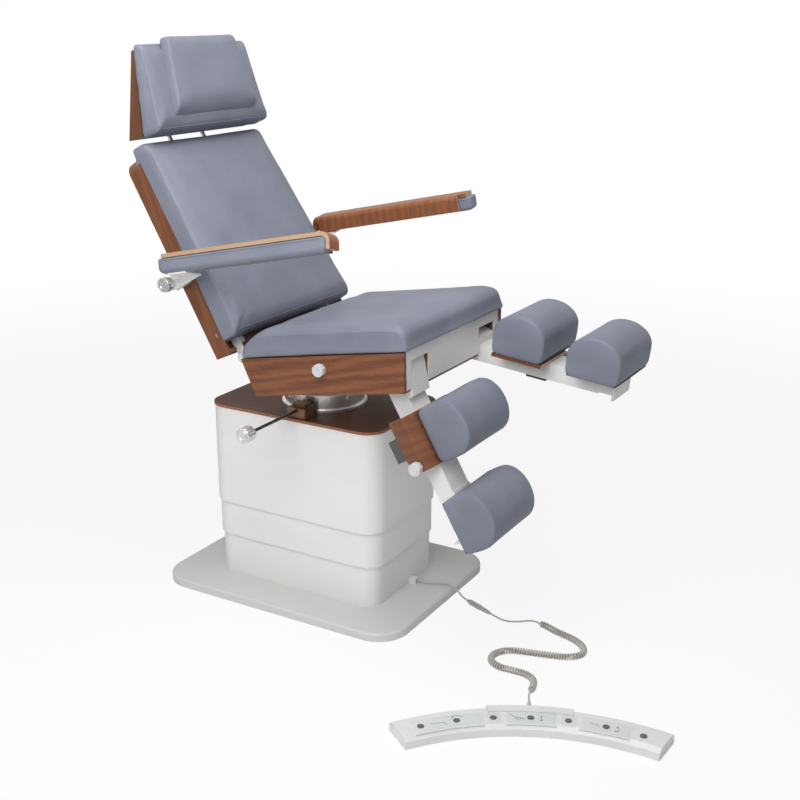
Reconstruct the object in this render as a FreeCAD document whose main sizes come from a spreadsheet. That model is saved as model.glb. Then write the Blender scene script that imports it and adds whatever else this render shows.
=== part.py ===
import FreeCAD, Part
import math
import os
import Sketcher

# Podiatry chair: telescopic column, tilting seat, reclining back, two split leg rests,
# two armrests, sliding headrest and a curved foot control on a curly cord.
# Millimetres, +Z up, the patient faces -Y, origin under the centre of the base plate.

doc = FreeCAD.newDocument("podiatry_chair")

# Driving dimensions
SIZES = [
    # base plate and column
    ("base_wide", 620), ("base_long", 820), ("base_thick", 25), ("base_corner", 95), ("base_rim", 7),
    ("cover_wide", 386), ("cover_long", 579), ("cover_corner", 60), ("cover_wall", 2.6), ("cover_step", 5.6),
    ("cover_low", 256), ("cover_high", 555), ("middle_low", 149), ("middle_high", 409), ("lower_high", 295),
    ("column_wide", 200), ("column_wall", 5), ("column_gap", 0.5), ("column_corner", 18),
    ("flange_low", 403), ("flange_thick", 6), ("column_fixed_high", 290),
    ("column_mid_low", 110), ("column_mid_high", 430), ("column_top_low", 190),
    ("top_plate_thick", 8), ("top_plate_lip", 2),
    ("drive_wide", 120), ("drive_deep", 110), ("drive_tall", 90), ("drive_offset", 118),
    ("motor_radius", 34), ("motor_tall", 150),
    ("inlet_wide", 48), ("inlet_deep", 14), ("inlet_tall", 30), ("inlet_rise", 9), ("inlet_wall", 4),
    ("pin_wide", 2.4), ("pin_long", 8), ("pin_spread", 7),
    # turntable, tilt yoke and brake
    ("slip", 0.3), ("fit", 0.05), ("overrun", 5),
    ("flange_radius", 118), ("flange_top", 612), ("flange_step", 8), ("flange_step_tall", 6),
    ("flange_lip", 5), ("flange_lip_tall", 6), ("spigot_radius", 30), ("spigot_long", 16),
    ("lug_across", 10), ("lug_tall", 16), ("lug_start_angle", 22),
    ("yoke_wide", 160), ("yoke_deep", 110), ("yoke_thick", 8), ("yoke_ear_out", 50), ("yoke_ear_thick", 10),
    ("yoke_ear_deep", 60), ("yoke_ear_round", 24), ("tilt_pin_radius", 10),
    ("brake_wide", 58), ("brake_deep", 60), ("brake_tall", 30), ("brake_gap", 2), ("brake_shift", 25),
    ("brake_rod_radius", 4.5), ("brake_rod_rise", 22), ("brake_rod_long", 215), ("brake_rod_sunk", 30),
    ("brake_knob_radius", 22), ("brake_knob_long", 34), ("knob_bevel", 4),
    # seat, in its own level frame about the tilt pin
    ("pivot_high", 700), ("seat_tilt_angle", 10), ("tray_rise", 60), ("tray_drop", 46),
    ("tray_front", 450), ("tray_rear", 77), ("tray_rear_rake", 30), ("tray_half", 285), ("panel_thick", 12),
    ("front_rake_angle", 8.6), ("seat_cushion_thick", 77), ("front_thick", 3),
    ("front_recess", 4), ("board_drop", 4),
    ("slot_half", 47), ("slot_top", 32), ("pan_thick", 3), ("ear_thick", 6), ("ear_deep", 52),
    ("ear_low", 20), ("ear_out", 52), ("leg_pin_radius", 8),
    ("tilt_ear_out", 62), ("tilt_ear_thick", 6), ("tilt_ear_round", 22),
    ("back_ear_out", 244), ("back_ear_thick", 8), ("back_ear_round", 15), ("back_pin_radius", 8),
    ("seat_cushion_half", 294), ("seat_cushion_front", 463), ("seat_cushion_rear", 80),
    ("seat_knob_y", 186), ("seat_knob_z", 24), ("seat_knob_radius", 17.5), ("seat_knob_long", 18),
    ("seat_stud_radius", 5),
    # back, in its own frame about the recline pin, +Z up along the back
    ("back_y", 102), ("back_z", 54), ("back_lean_angle", 22.6),
    ("back_face", 70), ("back_cushion_thick", 58), ("back_cushion_low", 54), ("back_cushion_high", 642),
    ("back_half_low", 302), ("back_half_high", 268),
    ("shell_low", 26), ("shell_high", 630), ("shell_rear", 38), ("shell_wall", 9), ("shell_inset", 2),
    ("arm_tube_wide", 30), ("arm_tube_deep", 22), ("arm_tube_out", 212), ("arm_tube_high", 596),
    ("back_arm_thick", 10), ("back_arm_out", 230),
    ("rest_pivot_up", 272), ("rest_pivot_back", 39), ("rest_rod_radius", 8), ("rest_rod_back", 14),
    ("rest_plate_in", 291), ("rest_plate_thick", 7), ("rest_plate_half", 22), ("rest_pin_radius", 7),
    ("guide_low", 540), ("guide_high", 600), ("guide_deep", 34), ("guide_wide", 190), ("guide_back", 8),
    ("guide_rail_tall", 30),
    # headrest
    ("head_rod_out", 75), ("head_rod_radius", 6), ("head_rod_low", 400), ("head_rod_high", 735),
    ("head_rod_back", 2), ("head_lean_angle", 15.1), ("head_out", 159.2), ("head_up", 782.6),
    ("head_half_low", 266), ("head_half_high", 233), ("head_top", 98), ("head_foot", 155),
    ("head_pad_top", 31), ("head_pad_foot", 68), ("head_wood_top", 12), ("head_wood_foot", 50),
    ("head_wood_low", 138), ("head_wood_drop", 6), ("gusset_wide", 20), ("gusset_low", 130),
    ("gusset_high", 80), ("gusset_start", 690), ("pillow_half_low", 183), ("pillow_half_high", 143),
    ("pillow_tall", 204), ("pillow_thick", 26), ("pillow_low", 100),
    # armrests, in their own frame about the pivot
    ("arm_x", 345), ("arm_long", 560), ("arm_wide", 54), ("arm_strip_thick", 11), ("arm_pad_thick", 40),
    ("near_arm_roll_angle", 18), ("far_arm_roll_angle", 8),
    ("near_arm_pitch_angle", 12), ("far_arm_pitch_angle", 12.3),
    ("near_arm_front", 589.3), ("far_arm_front", 603.5), ("near_arm_top", 78), ("far_arm_top", 84),
    ("strip_bend", 28), ("strip_hook", 46), ("strip_side_thick", 8), ("strip_side_bend", 12),
    ("strip_side_lift", 3), ("strip_side_short", 26), ("pad_over", 14), ("pad_inset", 15),
    ("bracket_thick", 6),
    ("bracket_in", 318), ("bracket_round", 20), ("bracket_foot_wide", 64),
    ("bracket_foot_long", 64), ("bracket_foot_thick", 5), ("hub_radius", 14), ("knob_start", 334.3),
    ("arm_knob_radius", 21), ("arm_knob_long", 22.5), ("arm_knob_well", 10),
    # leg rests, in their own frames about the knee pins, the bar pointing along -Y
    ("knee_y", 372), ("knee_z", 25), ("knee_x", 195), ("near_leg_angle", 60), ("far_leg_angle", 6),
    ("bar_wide", 88), ("bar_deep", 50), ("bar_wall", 3), ("bar_start", 40), ("bar_end", 428),
    ("knuckle_front", 62), ("knuckle_brow", 58), ("knuckle_brow_up", 42), ("knuckle_crown_back", 33),
    ("knuckle_crown_up", 72), ("knuckle_heel", 25),
    ("tube_gap", 0.3), ("tube_wall", 3), ("tube_start", 205), ("tube_end", 454),
    ("end_plate_wide", 125), ("end_plate_thick", 6), ("end_plate_drop", 30), ("end_hole_radius", 5),
    ("end_hole_out", 50), ("shelf_long", 125), ("shelf_thick", 3), ("far_extension", 20),
    ("near_slide", 170), ("far_slide", 205), ("carrier_long", 150), ("carrier_inner", 115),
    ("carrier_top", 35), ("carrier_thick", 9.7), ("carrier_outer", 66), ("carrier_bulge", 95),
    ("carrier_waist", 14), ("carrier_skirt", 22), ("carrier_low", 36), ("carrier_tuck", 7),
    ("carrier_round", 20), ("corner_cut_start", 35), ("corner_cut_end", 80), ("corner_cut_up", 10),
    ("clamp_in", 44.6), ("clamp_out", 86.5), ("clamp_long", 62), ("clamp_low", 64), ("clamp_shift", 2),
    ("clamp_boss_out", 68), ("clamp_boss_end", 75), ("clamp_boss_low", 36),
    ("calf_knob_radius", 18), ("calf_knob_long", 20), ("calf_knob_along", 60), ("calf_knob_down", 8),
    ("calf_stud_radius", 4),
    ("pad_long", 255), ("pad_base", 156), ("pad_tall", 122), ("lower_pad_at", 408),
    ("near_upper_shift", 69.5), ("far_upper_shift", 4.5), ("lower_shift", 1.5),
    # foot control
    ("control_x", 1047), ("control_y", 1183), ("control_inner", 605), ("control_outer", 697),
    ("control_tall", 30), ("control_side", 20), ("control_bevel", 12), ("control_start_angle", 3.3),
    ("control_sweep_angle", 58.8), ("button_circle", 640), ("button_first_angle", 1.6),
    ("button_pitch_angle", 8.15), ("button_radius", 8.5), ("button_proud", 3), ("button_tall", 12),
    ("button_well", 14), ("hump_inner", 665), ("hump_rise", 4), ("hump_half_angle", 9),
    ("socket_radius", 8), ("socket_long", 42), ("socket_tip_radius", 4.5), ("socket_rise", 12),
    # cord and what is on it
    ("cord_width", 5), ("curl_width", 19), ("curl_count", 98), ("clip_wide", 20), ("clip_tall", 18),
    ("clip_deep", 24), ("clip_x", 28), ("connector_radius", 8),
    ("connector_step", 2), ("soft_gap", 0.3),
]

sheet = doc.addObject("Spreadsheet::Sheet", "Sizes")
for row, (alias, value) in enumerate(SIZES, 1):
    sheet.set("A%d" % row, alias)
    sheet.set("B%d" % row, str(value))
    sheet.setAlias("B%d" % row, alias)
doc.recompute()


class Size:
    """A length or angle that knows its value and the expression that gives it."""

    def __init__(self, value, text):
        self.value = value
        self.text = text

    def __add__(self, other):
        return joined(self, "+", other, self.value + number(other))

    def __radd__(self, other):
        return joined(other, "+", self, number(other) + self.value)

    def __sub__(self, other):
        return joined(self, "-", other, self.value - number(other))

    def __rsub__(self, other):
        return joined(other, "-", self, number(other) - self.value)

    def __mul__(self, other):
        return joined(self, "*", other, self.value * number(other))

    def __rmul__(self, other):
        return joined(other, "*", self, number(other) * self.value)

    def __truediv__(self, other):
        return joined(self, "/", other, self.value / number(other))

    def __neg__(self):
        return Size(-self.value, "(0 - %s)" % self.text)


def number(item):
    return item.value if isinstance(item, Size) else float(item)


def words(item):
    return item.text if isinstance(item, Size) else repr(float(item))


def joined(left, sign, right, value):
    return Size(value, "(%s %s %s)" % (words(left), sign, words(right)))


def sine(angle):
    return Size(math.sin(math.radians(angle.value)), "sin(%s)" % angle.text)


def cosine(angle):
    return Size(math.cos(math.radians(angle.value)), "cos(%s)" % angle.text)


class Sheet:
    """The spreadsheet's cells as sizes."""

    def __getattr__(self, alias):
        return Size(float(sheet.get(alias)), "Sizes." + alias)


s = Sheet()
finished = []
X, Y, Z = (1, 0, 0), (0, 1, 0), (0, 0, 1)


def vector(items):
    return FreeCAD.Vector(*[number(item) for item in items])


def seat_it(item, at=(0, 0, 0), turn=0, axis=X):
    """Binds an object's Placement: a place, and a turn about an axis."""
    item.Placement = FreeCAD.Placement(vector(at), FreeCAD.Rotation(FreeCAD.Vector(*axis), number(turn)))
    for letter, size in zip("xyz", at):
        if isinstance(size, Size):
            item.setExpression("Placement.Base." + letter, size.text)
    if isinstance(turn, Size):
        item.setExpression("Placement.Rotation.Angle", turn.text)
    return item


def finish(item, label, at=(0, 0, 0), turn=0, axis=X):
    """Names a sub-part and places it in the chair."""
    item.Label = label
    seat_it(item, at, turn, axis)
    finished.append(item)
    return item


def finish_rolled(item, label, at, turns, side):
    """Names and places a sub-part that is pitched about -X and then rolled about its own length."""
    pitch, roll = turns
    item.Label = label
    base = "create(<<vector>>; %s)" % "; ".join(words(size) for size in at)
    pitched = "create(<<rotation>>; create(<<vector>>; -1; 0; 0); %s)" % pitch.text
    rolled = "create(<<rotation>>; create(<<vector>>; 0; %d; 0); %s)" % (-side, roll.text)
    item.setExpression("Placement", "create(<<placement>>; %s; %s * %s)" % (base, pitched, rolled))
    finished.append(item)
    return item


def bind(item, **sizes):
    for prop, size in sizes.items():
        if isinstance(size, Size):
            item.setExpression(prop, size.text)
        else:
            setattr(item, prop, size)
    return item


def box(name, wide, deep, tall, at=(0, 0, 0)):
    """A block centred on X and Y over its place."""
    item = doc.addObject("Part::Box", name)
    bind(item, Length=wide, Width=deep, Height=tall)
    return seat_it(item, (at[0] - wide / 2, at[1] - deep / 2, at[2]))


def lay_along(item, at, along):
    """Binds a round piece's place, its own axis laid along a direction."""
    turn = FreeCAD.Rotation(FreeCAD.Vector(0, 0, 1), FreeCAD.Vector(*along))
    item.Placement = FreeCAD.Placement(vector(at), turn)
    for letter, size in zip("xyz", at):
        if isinstance(size, Size):
            item.setExpression("Placement.Base." + letter, size.text)
    return item


def rod(name, radius, tall, at=(0, 0, 0), along=Z):
    """A round bar from its place along an axis."""
    item = doc.addObject("Part::Cylinder", name)
    bind(item, Radius=radius, Height=tall)
    return lay_along(item, at, along)


def cone(name, low, high, tall, at=(0, 0, 0), along=Z):
    item = doc.addObject("Part::Cone", name)
    bind(item, Radius1=low, Radius2=high, Height=tall)
    return lay_along(item, at, along)


def fuse(name, items):
    item = doc.addObject("Part::MultiFuse", name)
    item.Shapes = items
    return item


def cut(name, base, tools):
    item = doc.addObject("Part::Cut", name)
    item.Base = base
    item.Tool = tools[0] if len(tools) == 1 else fuse(name + "_tools", tools)
    return item


def sketch_outline(body, name, plane, points):
    """A closed outline of straight lines, every corner held by two sizes."""
    sketch = body.newObject("Sketcher::SketchObject", name)
    origin_plane = next(item for item in body.Origin.OriginFeatures if item.Role == plane)
    sketch.AttachmentSupport = [(origin_plane, "")]
    sketch.MapMode = "FlatFace"
    count = len(points)
    for index in range(count):
        start, end = points[index], points[(index + 1) % count]
        sketch.addGeometry(Part.LineSegment(vector(start + (0,)), vector(end + (0,))), False)
    for index in range(count):
        sketch.addConstraint(Sketcher.Constraint("Coincident", index, 2, (index + 1) % count, 1))
    for index, point in enumerate(points):
        for kind, size in zip(("DistanceX", "DistanceY"), point):
            place = sketch.addConstraint(Sketcher.Constraint(kind, -1, 1, index, 1, number(size)))
            if isinstance(size, Size):
                sketch.setExpression("Constraints[%d]" % place, size.text)
    return sketch


def round_corners(body, feature, name, corners, axis):
    """Rounds the edges that run along an axis through the listed corners."""
    doc.recompute()
    for index, (corner, radius) in enumerate(corners):
        picked = []
        for order, edge in enumerate(feature.Shape.Edges, 1):
            if edge.Curve.TypeId != "Part::GeomLine":
                continue
            if abs(edge.tangentAt(edge.FirstParameter).dot(FreeCAD.Vector(*axis))) < 0.999:
                continue
            middle = edge.CenterOfMass
            gap = middle - vector(corner)
            gap = gap - FreeCAD.Vector(*axis) * gap.dot(FreeCAD.Vector(*axis))
            if gap.Length < radius.value * 0.01:
                picked.append("Edge%d" % order)
        feature_new = body.newObject("PartDesign::Fillet", "%s_%d" % (name, index))
        feature_new.Base = (feature, picked)
        bind(feature_new, Radius=radius)
        feature = feature_new
        doc.recompute()
    return feature


PLANE_AXIS = {"XY_Plane": Z, "XZ_Plane": Y, "YZ_Plane": X}


def in_space(plane, point):
    """The place in space of an outline's corner on an origin plane."""
    if plane == "XY_Plane":
        return (point[0], point[1], 0)
    if plane == "XZ_Plane":
        return (point[0], 0, point[1])
    return (0, point[0], point[1])


def slab(name, plane, points, thick, rounds=()):
    """A plate of an outline, its thickness shared by both sides of the plane."""
    body = doc.addObject("PartDesign::Body", name)
    sketch = sketch_outline(body, name + "_outline", plane, points)
    pad = body.newObject("PartDesign::Pad", name + "_pad")
    pad.Profile = sketch
    pad.SideType = "Symmetric"
    bind(pad, Length=thick)
    corners = [(in_space(plane, points[index]), radius) for index, radius in rounds]
    if corners:
        round_corners(body, pad, name + "_round", corners, PLANE_AXIS[plane])
    return body


def oblong(wide, long):
    """The corners of an upright rectangle about the middle."""
    return [(-wide / 2, -long / 2), (wide / 2, -long / 2), (wide / 2, long / 2), (-wide / 2, long / 2)]


def pillar(name, wide, long, tall, corner):
    """A round-cornered block standing on the XY plane."""
    body = doc.addObject("PartDesign::Body", name)
    sketch = sketch_outline(body, name + "_outline", "XY_Plane", oblong(wide, long))
    pad = body.newObject("PartDesign::Pad", name + "_pad")
    pad.Profile = sketch
    bind(pad, Length=tall)
    corners = [((x, y, 0), corner) for x, y in oblong(wide, long)]
    round_corners(body, pad, name + "_round", corners, Z)
    return body


def sleeve(label, wide, long, low, high, corner, wall):
    """A round-cornered tube from one height to another."""
    outer = pillar(label + "_outer", wide, long, high - low, corner)
    deep = high - low + s.overrun * 2
    inner = pillar(label + "_inner", wide - wall * 2, long - wall * 2, deep, corner - wall)
    seat_it(inner, (0, 0, -s.overrun))
    return finish(cut(label, outer, [inner]), label, (0, 0, low))


def own_shape(name, shape):
    item = doc.addObject("Part::Feature", name)
    item.Shape = shape
    return item


# Base and lifting column
def base_plate():
    body = pillar("base_plate_body", s.base_wide, s.base_long, s.base_thick, s.base_corner)
    rounded = body.Tip
    top = [
        "Edge%d" % order
        for order, edge in enumerate(rounded.Shape.Edges, 1)
        if min(vertex.Z for vertex in edge.Vertexes) > s.base_thick.value * 0.99
    ]
    rim = body.newObject("PartDesign::Fillet", "base_plate_rim")
    rim.Base = (rounded, top)
    bind(rim, Radius=s.base_rim)
    finish(body, "base_plate")


def column_covers():
    step = s.cover_step * 2
    shares = [
        ("lower_column_cover", 2, s.base_thick, s.lower_high),
        ("middle_column_cover", 1, s.middle_low, s.middle_high),
        ("upper_column_cover", 0, s.cover_low, s.cover_high),
    ]
    for label, steps, low, high in shares:
        corner = s.cover_corner - s.cover_step * steps
        wide, long = s.cover_wide - step * steps, s.cover_long - step * steps
        sleeve(label, wide, long, low, high, corner, s.cover_wall)


def column_tubes():
    step = (s.column_wall + s.column_gap) * 2
    stages = [
        ("lift_column_outer", 0, s.base_thick, s.column_fixed_high),
        ("lift_column_middle", 1, s.column_mid_low, s.column_mid_high),
        ("lift_column_inner", 2, s.column_top_low, s.cover_high),
    ]
    for label, steps, low, high in stages:
        wide = s.column_wide - step * steps
        corner = s.column_corner - (s.column_wall + s.column_gap) * steps * 0.5
        if steps != 1:
            sleeve(label, wide, wide, low, high, corner, s.column_wall)
            continue
        tube = pillar("middle_tube", wide, wide, high - low, corner)
        reach = (s.cover_step + s.cover_wall + s.fit) * 2
        flange = pillar("middle_flange", s.cover_wide - reach, s.cover_long - reach, s.flange_thick,
                        s.cover_corner - reach / 2)
        seat_it(flange, (0, 0, s.flange_low - low))
        inner = wide - s.column_wall * 2
        bore = pillar("middle_bore", inner, inner, high - low + s.overrun * 2, corner - s.column_wall)
        seat_it(bore, (0, 0, -s.overrun))
        finish(cut("middle_stage", fuse("middle_solid", [tube, flange]), [bore]), label, (0, 0, low))


def column_top_plate():
    lip = s.top_plate_lip * 2
    thick = s.top_plate_thick
    plate = pillar("top_plate_board", s.cover_wide + lip, s.cover_long + lip, thick, s.cover_corner)
    bore = rod("top_plate_bore", s.spigot_radius + s.fit, thick + s.overrun * 2, (0, 0, -s.overrun))
    finish(cut("top_plate", plate, [bore]), "column_top_plate", (0, 0, s.cover_high))


def lift_drive():
    gearbox = box("drive_gearbox", s.drive_wide, s.drive_deep, s.drive_tall, (0, 0, 0))
    motor = rod("drive_motor", s.motor_radius, s.motor_tall, (0, 0, s.drive_tall))
    place = (0, s.drive_offset + s.drive_deep / 2, s.base_thick)
    finish(fuse("drive", [gearbox, motor]), "lift_drive", place)


def mains_inlet():
    face = s.cover_long / 2 - s.cover_step * 2
    middle = s.inlet_tall / 2
    block = box("inlet_block", s.inlet_wide, s.inlet_deep, s.inlet_tall, (0, s.inlet_deep / 2, 0))
    well_wide = s.inlet_wide - s.inlet_wall * 2
    well_tall = s.inlet_tall - s.inlet_wall * 2
    well_place = (0, s.inlet_wall + (s.inlet_deep + s.overrun) / 2, s.inlet_wall)
    well = box("inlet_well", well_wide, s.inlet_deep + s.overrun, well_tall, well_place)
    socket = cut("inlet_socket", block, [well])
    pins = []
    for index, share in enumerate((-1, 0, 1)):
        place = (s.pin_spread * share, s.inlet_wall + s.pin_long / 2, middle - s.pin_wide / 2)
        pins.append(box("inlet_pin_%d" % index, s.pin_wide, s.pin_long, s.pin_wide, place))
    finish(fuse("inlet", [socket] + pins), "mains_inlet", (0, face, s.base_thick + s.inlet_rise))


# Turntable, tilt yoke and brake
def turntable_flange():
    low = s.cover_high + s.top_plate_thick + s.soft_gap
    tall = s.flange_top - low
    drum = rod("flange_drum", s.flange_radius, tall)
    step = rod("flange_foot", s.flange_radius + s.flange_step, s.flange_step_tall)
    lip_low = tall - s.flange_lip_tall
    lip = rod("flange_rim", s.flange_radius + s.flange_lip, s.flange_lip_tall, (0, 0, lip_low))
    spigot = rod("flange_spigot", s.spigot_radius, s.spigot_long + s.overrun, (0, 0, -s.spigot_long))
    lugs = []
    for index in range(8):
        angle = math.radians(s.lug_start_angle.value + 360 / 8 * index)
        reach = s.flange_radius + s.flange_lip / 2
        place = (reach * math.cos(angle), reach * math.sin(angle), tall - s.lug_tall)
        lugs.append(rod("flange_lug_%d" % index, s.lug_across / 2, s.lug_tall - s.flange_lip_tall / 2, place))
    finish(fuse("flange", [drum, step, lip, spigot] + lugs), "turntable_flange", (0, 0, low))


def tilt_yoke():
    rise = s.pivot_high - s.flange_top
    parts = [box("yoke_foot", s.yoke_wide, s.yoke_deep, s.yoke_thick)]
    bores = []
    for side in (-1, 1):
        middle = s.yoke_ear_out * side
        parts.append(box("yoke_ear", s.yoke_ear_thick, s.yoke_ear_deep, rise, (middle, 0, 0)))
        start = (middle - s.yoke_ear_thick / 2, 0, rise)
        parts.append(rod("yoke_boss", s.yoke_ear_round, s.yoke_ear_thick, start, X))
    reach = s.yoke_ear_out + s.yoke_ear_thick
    bores.append(rod("yoke_bore", s.tilt_pin_radius + s.fit, reach * 2, (-reach, 0, rise), X))
    finish(cut("yoke", fuse("yoke_solid", parts), bores), "tilt_yoke", (0, 0, s.flange_top))


def brake():
    floor = s.cover_high + s.top_plate_thick
    edge = s.flange_radius + s.flange_step + s.brake_gap
    block = box("brake_block", s.brake_wide, s.brake_deep, s.brake_tall)
    ledge = box("brake_jaw", s.brake_wide / 2, s.brake_deep * 0.7, s.brake_tall / 3, (0, 0, s.brake_tall))
    bore_place = (-s.brake_wide / 2 - s.overrun, 0, s.brake_rod_rise)
    bore = rod("brake_bore", s.brake_rod_radius + s.fit, s.brake_rod_sunk + s.overrun * 2, bore_place, X)
    place = (-edge - s.brake_wide / 2, -s.brake_shift, floor)
    finish(cut("brake_clamp", fuse("brake_solid", [block, ledge]), [bore]), "brake_bracket", place)
    start = -edge - s.brake_wide + s.brake_rod_sunk
    stem = rod("brake_stem", s.brake_rod_radius, s.brake_rod_long + s.brake_rod_sunk)
    knob_place = (0, 0, s.brake_rod_long + s.brake_rod_sunk)
    knob = rod("brake_grip", s.brake_knob_radius, s.brake_knob_long - s.knob_bevel, knob_place)
    tip_place = (0, 0, s.brake_rod_long + s.brake_rod_sunk + s.brake_knob_long - s.knob_bevel)
    tip = cone("brake_tip", s.brake_knob_radius, s.brake_knob_radius - s.knob_bevel, s.knob_bevel)
    seat_it(tip, tip_place)
    lever = fuse("brake_lever_solid", [stem, knob, tip])
    finish(lever, "brake_lever", (start, -s.brake_shift, floor + s.brake_rod_rise), 90, (0, -1, 0))


# Seat
def seat_point(y, z):
    """A point of the level seat frame, carried by the tilt."""
    lean, rise = sine(s.seat_tilt_angle), cosine(s.seat_tilt_angle)
    return (y * rise + z * lean, s.pivot_high - y * lean + z * rise)


def finish_on_seat(item, label, x=0, y=None, z=None):
    """Places a sub-part modelled in the seat frame."""
    if y is None:
        return finish(item, label, (x, 0, s.pivot_high), s.seat_tilt_angle, (-1, 0, 0))
    place = seat_point(y, z)
    return finish(item, label, (x, place[0], place[1]), s.seat_tilt_angle, (-1, 0, 0))


def front_outline(half, low, high):
    """The front panel's outline, with a slot for each leg open at the foot."""
    top = s.slot_top
    slots = [-s.knee_x, s.knee_x]
    points = [(-half, low)]
    for middle in slots:
        left, right = middle - s.slot_half, middle + s.slot_half
        points += [(left, low), (left, top), (right, top), (right, low)]
    return points + [(half, low), (half, high), (-half, high)]


def seat_wood():
    rake = s.tray_rise + s.tray_drop
    foot = s.tray_front - rake * sine(s.front_rake_angle) / cosine(s.front_rake_angle)
    side = [(s.tray_rear, s.tray_rise), (-s.tray_front, s.tray_rise), (-foot, -s.tray_drop)]
    side += [(s.tray_rear - s.tray_rear_rake, -s.tray_drop)]
    parts = []
    for sign in (-1, 1):
        panel = slab("seat_side_%d" % (sign + 1), "YZ_Plane", side, s.panel_thick)
        x = (s.tray_half - s.panel_thick / 2) * sign
        if sign < 0:
            bore_long = s.panel_thick + s.overrun * 2
            bore_place = (x - bore_long / 2, -s.seat_knob_y, s.seat_knob_z)
            seat_it(panel, (x, 0, 0))
            bore = rod("seat_knob_bore", s.seat_stud_radius + s.fit, bore_long, bore_place, X)
            panel = cut("seat_side_bored", panel, [bore])
        else:
            seat_it(panel, (x, 0, 0))
        parts.append(panel)
    half = s.tray_half - s.panel_thick
    low = -s.tray_drop - s.board_drop
    board = slab("seat_front_board", "XZ_Plane", front_outline(half, low, s.tray_rise), s.panel_thick)
    depth = s.front_recess + s.front_thick + s.panel_thick / 2
    rake_turn = s.front_rake_angle
    y = -s.tray_front + depth / cosine(rake_turn) + s.tray_rise * sine(rake_turn) / cosine(rake_turn)
    seat_it(board, (0, y, 0), rake_turn, X)
    parts.append(board)
    finish_on_seat(fuse("seat_wood", parts), "seat_side_panels")


def seat_front_panel():
    half = s.tray_half - s.panel_thick - s.soft_gap
    low = -s.tray_drop + s.board_drop / 2
    panel = slab("seat_front_sheet", "XZ_Plane", front_outline(half, low, s.tray_rise), s.front_thick)
    depth = s.front_recess + s.front_thick / 2
    rake_turn = s.front_rake_angle
    y = -s.tray_front + depth / cosine(rake_turn) + s.tray_rise * sine(rake_turn) / cosine(rake_turn)
    place = seat_point(y, s.tray_front * 0)
    finish(panel, "seat_front_panel", (0, place[0], place[1]), s.seat_tilt_angle - rake_turn, (-1, 0, 0))


def seat_frame():
    top = s.tray_rise - s.soft_gap
    half = s.tray_half - s.panel_thick - s.soft_gap
    front = s.tray_front - s.front_recess - s.front_thick - s.panel_thick * 1.2 - s.soft_gap
    long = front + s.tray_rear - s.soft_gap * 4
    parts = [box("seat_pan", half * 2, long, s.pan_thick, (0, -front + long / 2, top - s.pan_thick))]
    for sign in (-1, 1):
        for side in (-1, 1):
            x = s.knee_x * sign + s.ear_out * side
            tall = top - s.pan_thick / 2 + s.knee_z + s.ear_low
            place = (x, -s.knee_y, -s.knee_z - s.ear_low)
            parts.append(box("knee_ear", s.ear_thick, s.ear_deep, tall, place))
        reach = s.ear_out + s.ear_thick
        place = (s.knee_x * sign - reach, -s.knee_y, -s.knee_z)
        parts.append(rod("knee_pin", s.leg_pin_radius, reach * 2, place, X))
        x = s.tilt_ear_out * sign
        thick = s.tilt_ear_thick
        parts.append(box("tilt_ear", thick, s.tilt_ear_round * 2, top - s.pan_thick / 2, (x, 0, 0)))
        parts.append(rod("tilt_boss", s.tilt_ear_round, thick, (x - thick / 2, 0, 0), X))
        x = s.back_ear_out * sign
        deep = s.back_y - s.tray_rear + s.tray_rear / 2
        tall = s.back_ear_round * 1.6
        place = (x, s.back_y - deep / 2, top - tall)
        parts.append(box("back_ear", s.back_ear_thick, deep, tall, place))
        start = (x - s.back_ear_thick / 2, s.back_y, s.back_z)
        parts.append(rod("back_boss", s.back_ear_round, s.back_ear_thick, start, X))
        inner = s.back_arm_out - s.back_arm_thick * 0.8
        outer = s.back_ear_out + s.back_ear_thick
        start = inner if sign > 0 else -outer
        parts.append(rod("back_pin", s.back_pin_radius, outer - inner, (start, s.back_y, s.back_z), X))
    reach = s.tilt_ear_out + s.tilt_ear_thick
    parts.append(rod("tilt_pin", s.tilt_pin_radius, reach * 2, (-reach, 0, 0), X))
    finish_on_seat(fuse("seat_steel", parts), "seat_frame")


def knob(label, radius, long, stud_radius, stud_long, at, turn, axis):
    """A turning knob: a bevelled grip on a stud, made along +Z and then turned."""
    grip = rod(label + "_grip", radius, long - s.knob_bevel)
    tip = cone(label + "_tip", radius, radius - s.knob_bevel, s.knob_bevel)
    seat_it(tip, (0, 0, long - s.knob_bevel))
    stud = rod(label + "_stud", stud_radius, stud_long + s.overrun, (0, 0, -stud_long))
    return finish(fuse(label + "_solid", [grip, tip, stud]), label, at, turn, axis)


def seat_knob():
    place = seat_point(-s.seat_knob_y, s.seat_knob_z)
    x = -s.tray_half - s.soft_gap
    long = s.panel_thick * 1.5
    knob("seat_knob", s.seat_knob_radius, s.seat_knob_long, s.seat_stud_radius, long,
         (x, place[0], place[1]), 90, (0, -1, 0))


# Soft pieces: lofts through closed outlines of lines and flat arcs
def arc_edge(start, middle, end):
    return Part.Arc(FreeCAD.Vector(*start), FreeCAD.Vector(*middle), FreeCAD.Vector(*end)).toShape()


def line_edge(start, end):
    return Part.LineSegment(FreeCAD.Vector(*start), FreeCAD.Vector(*end)).toShape()


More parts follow.
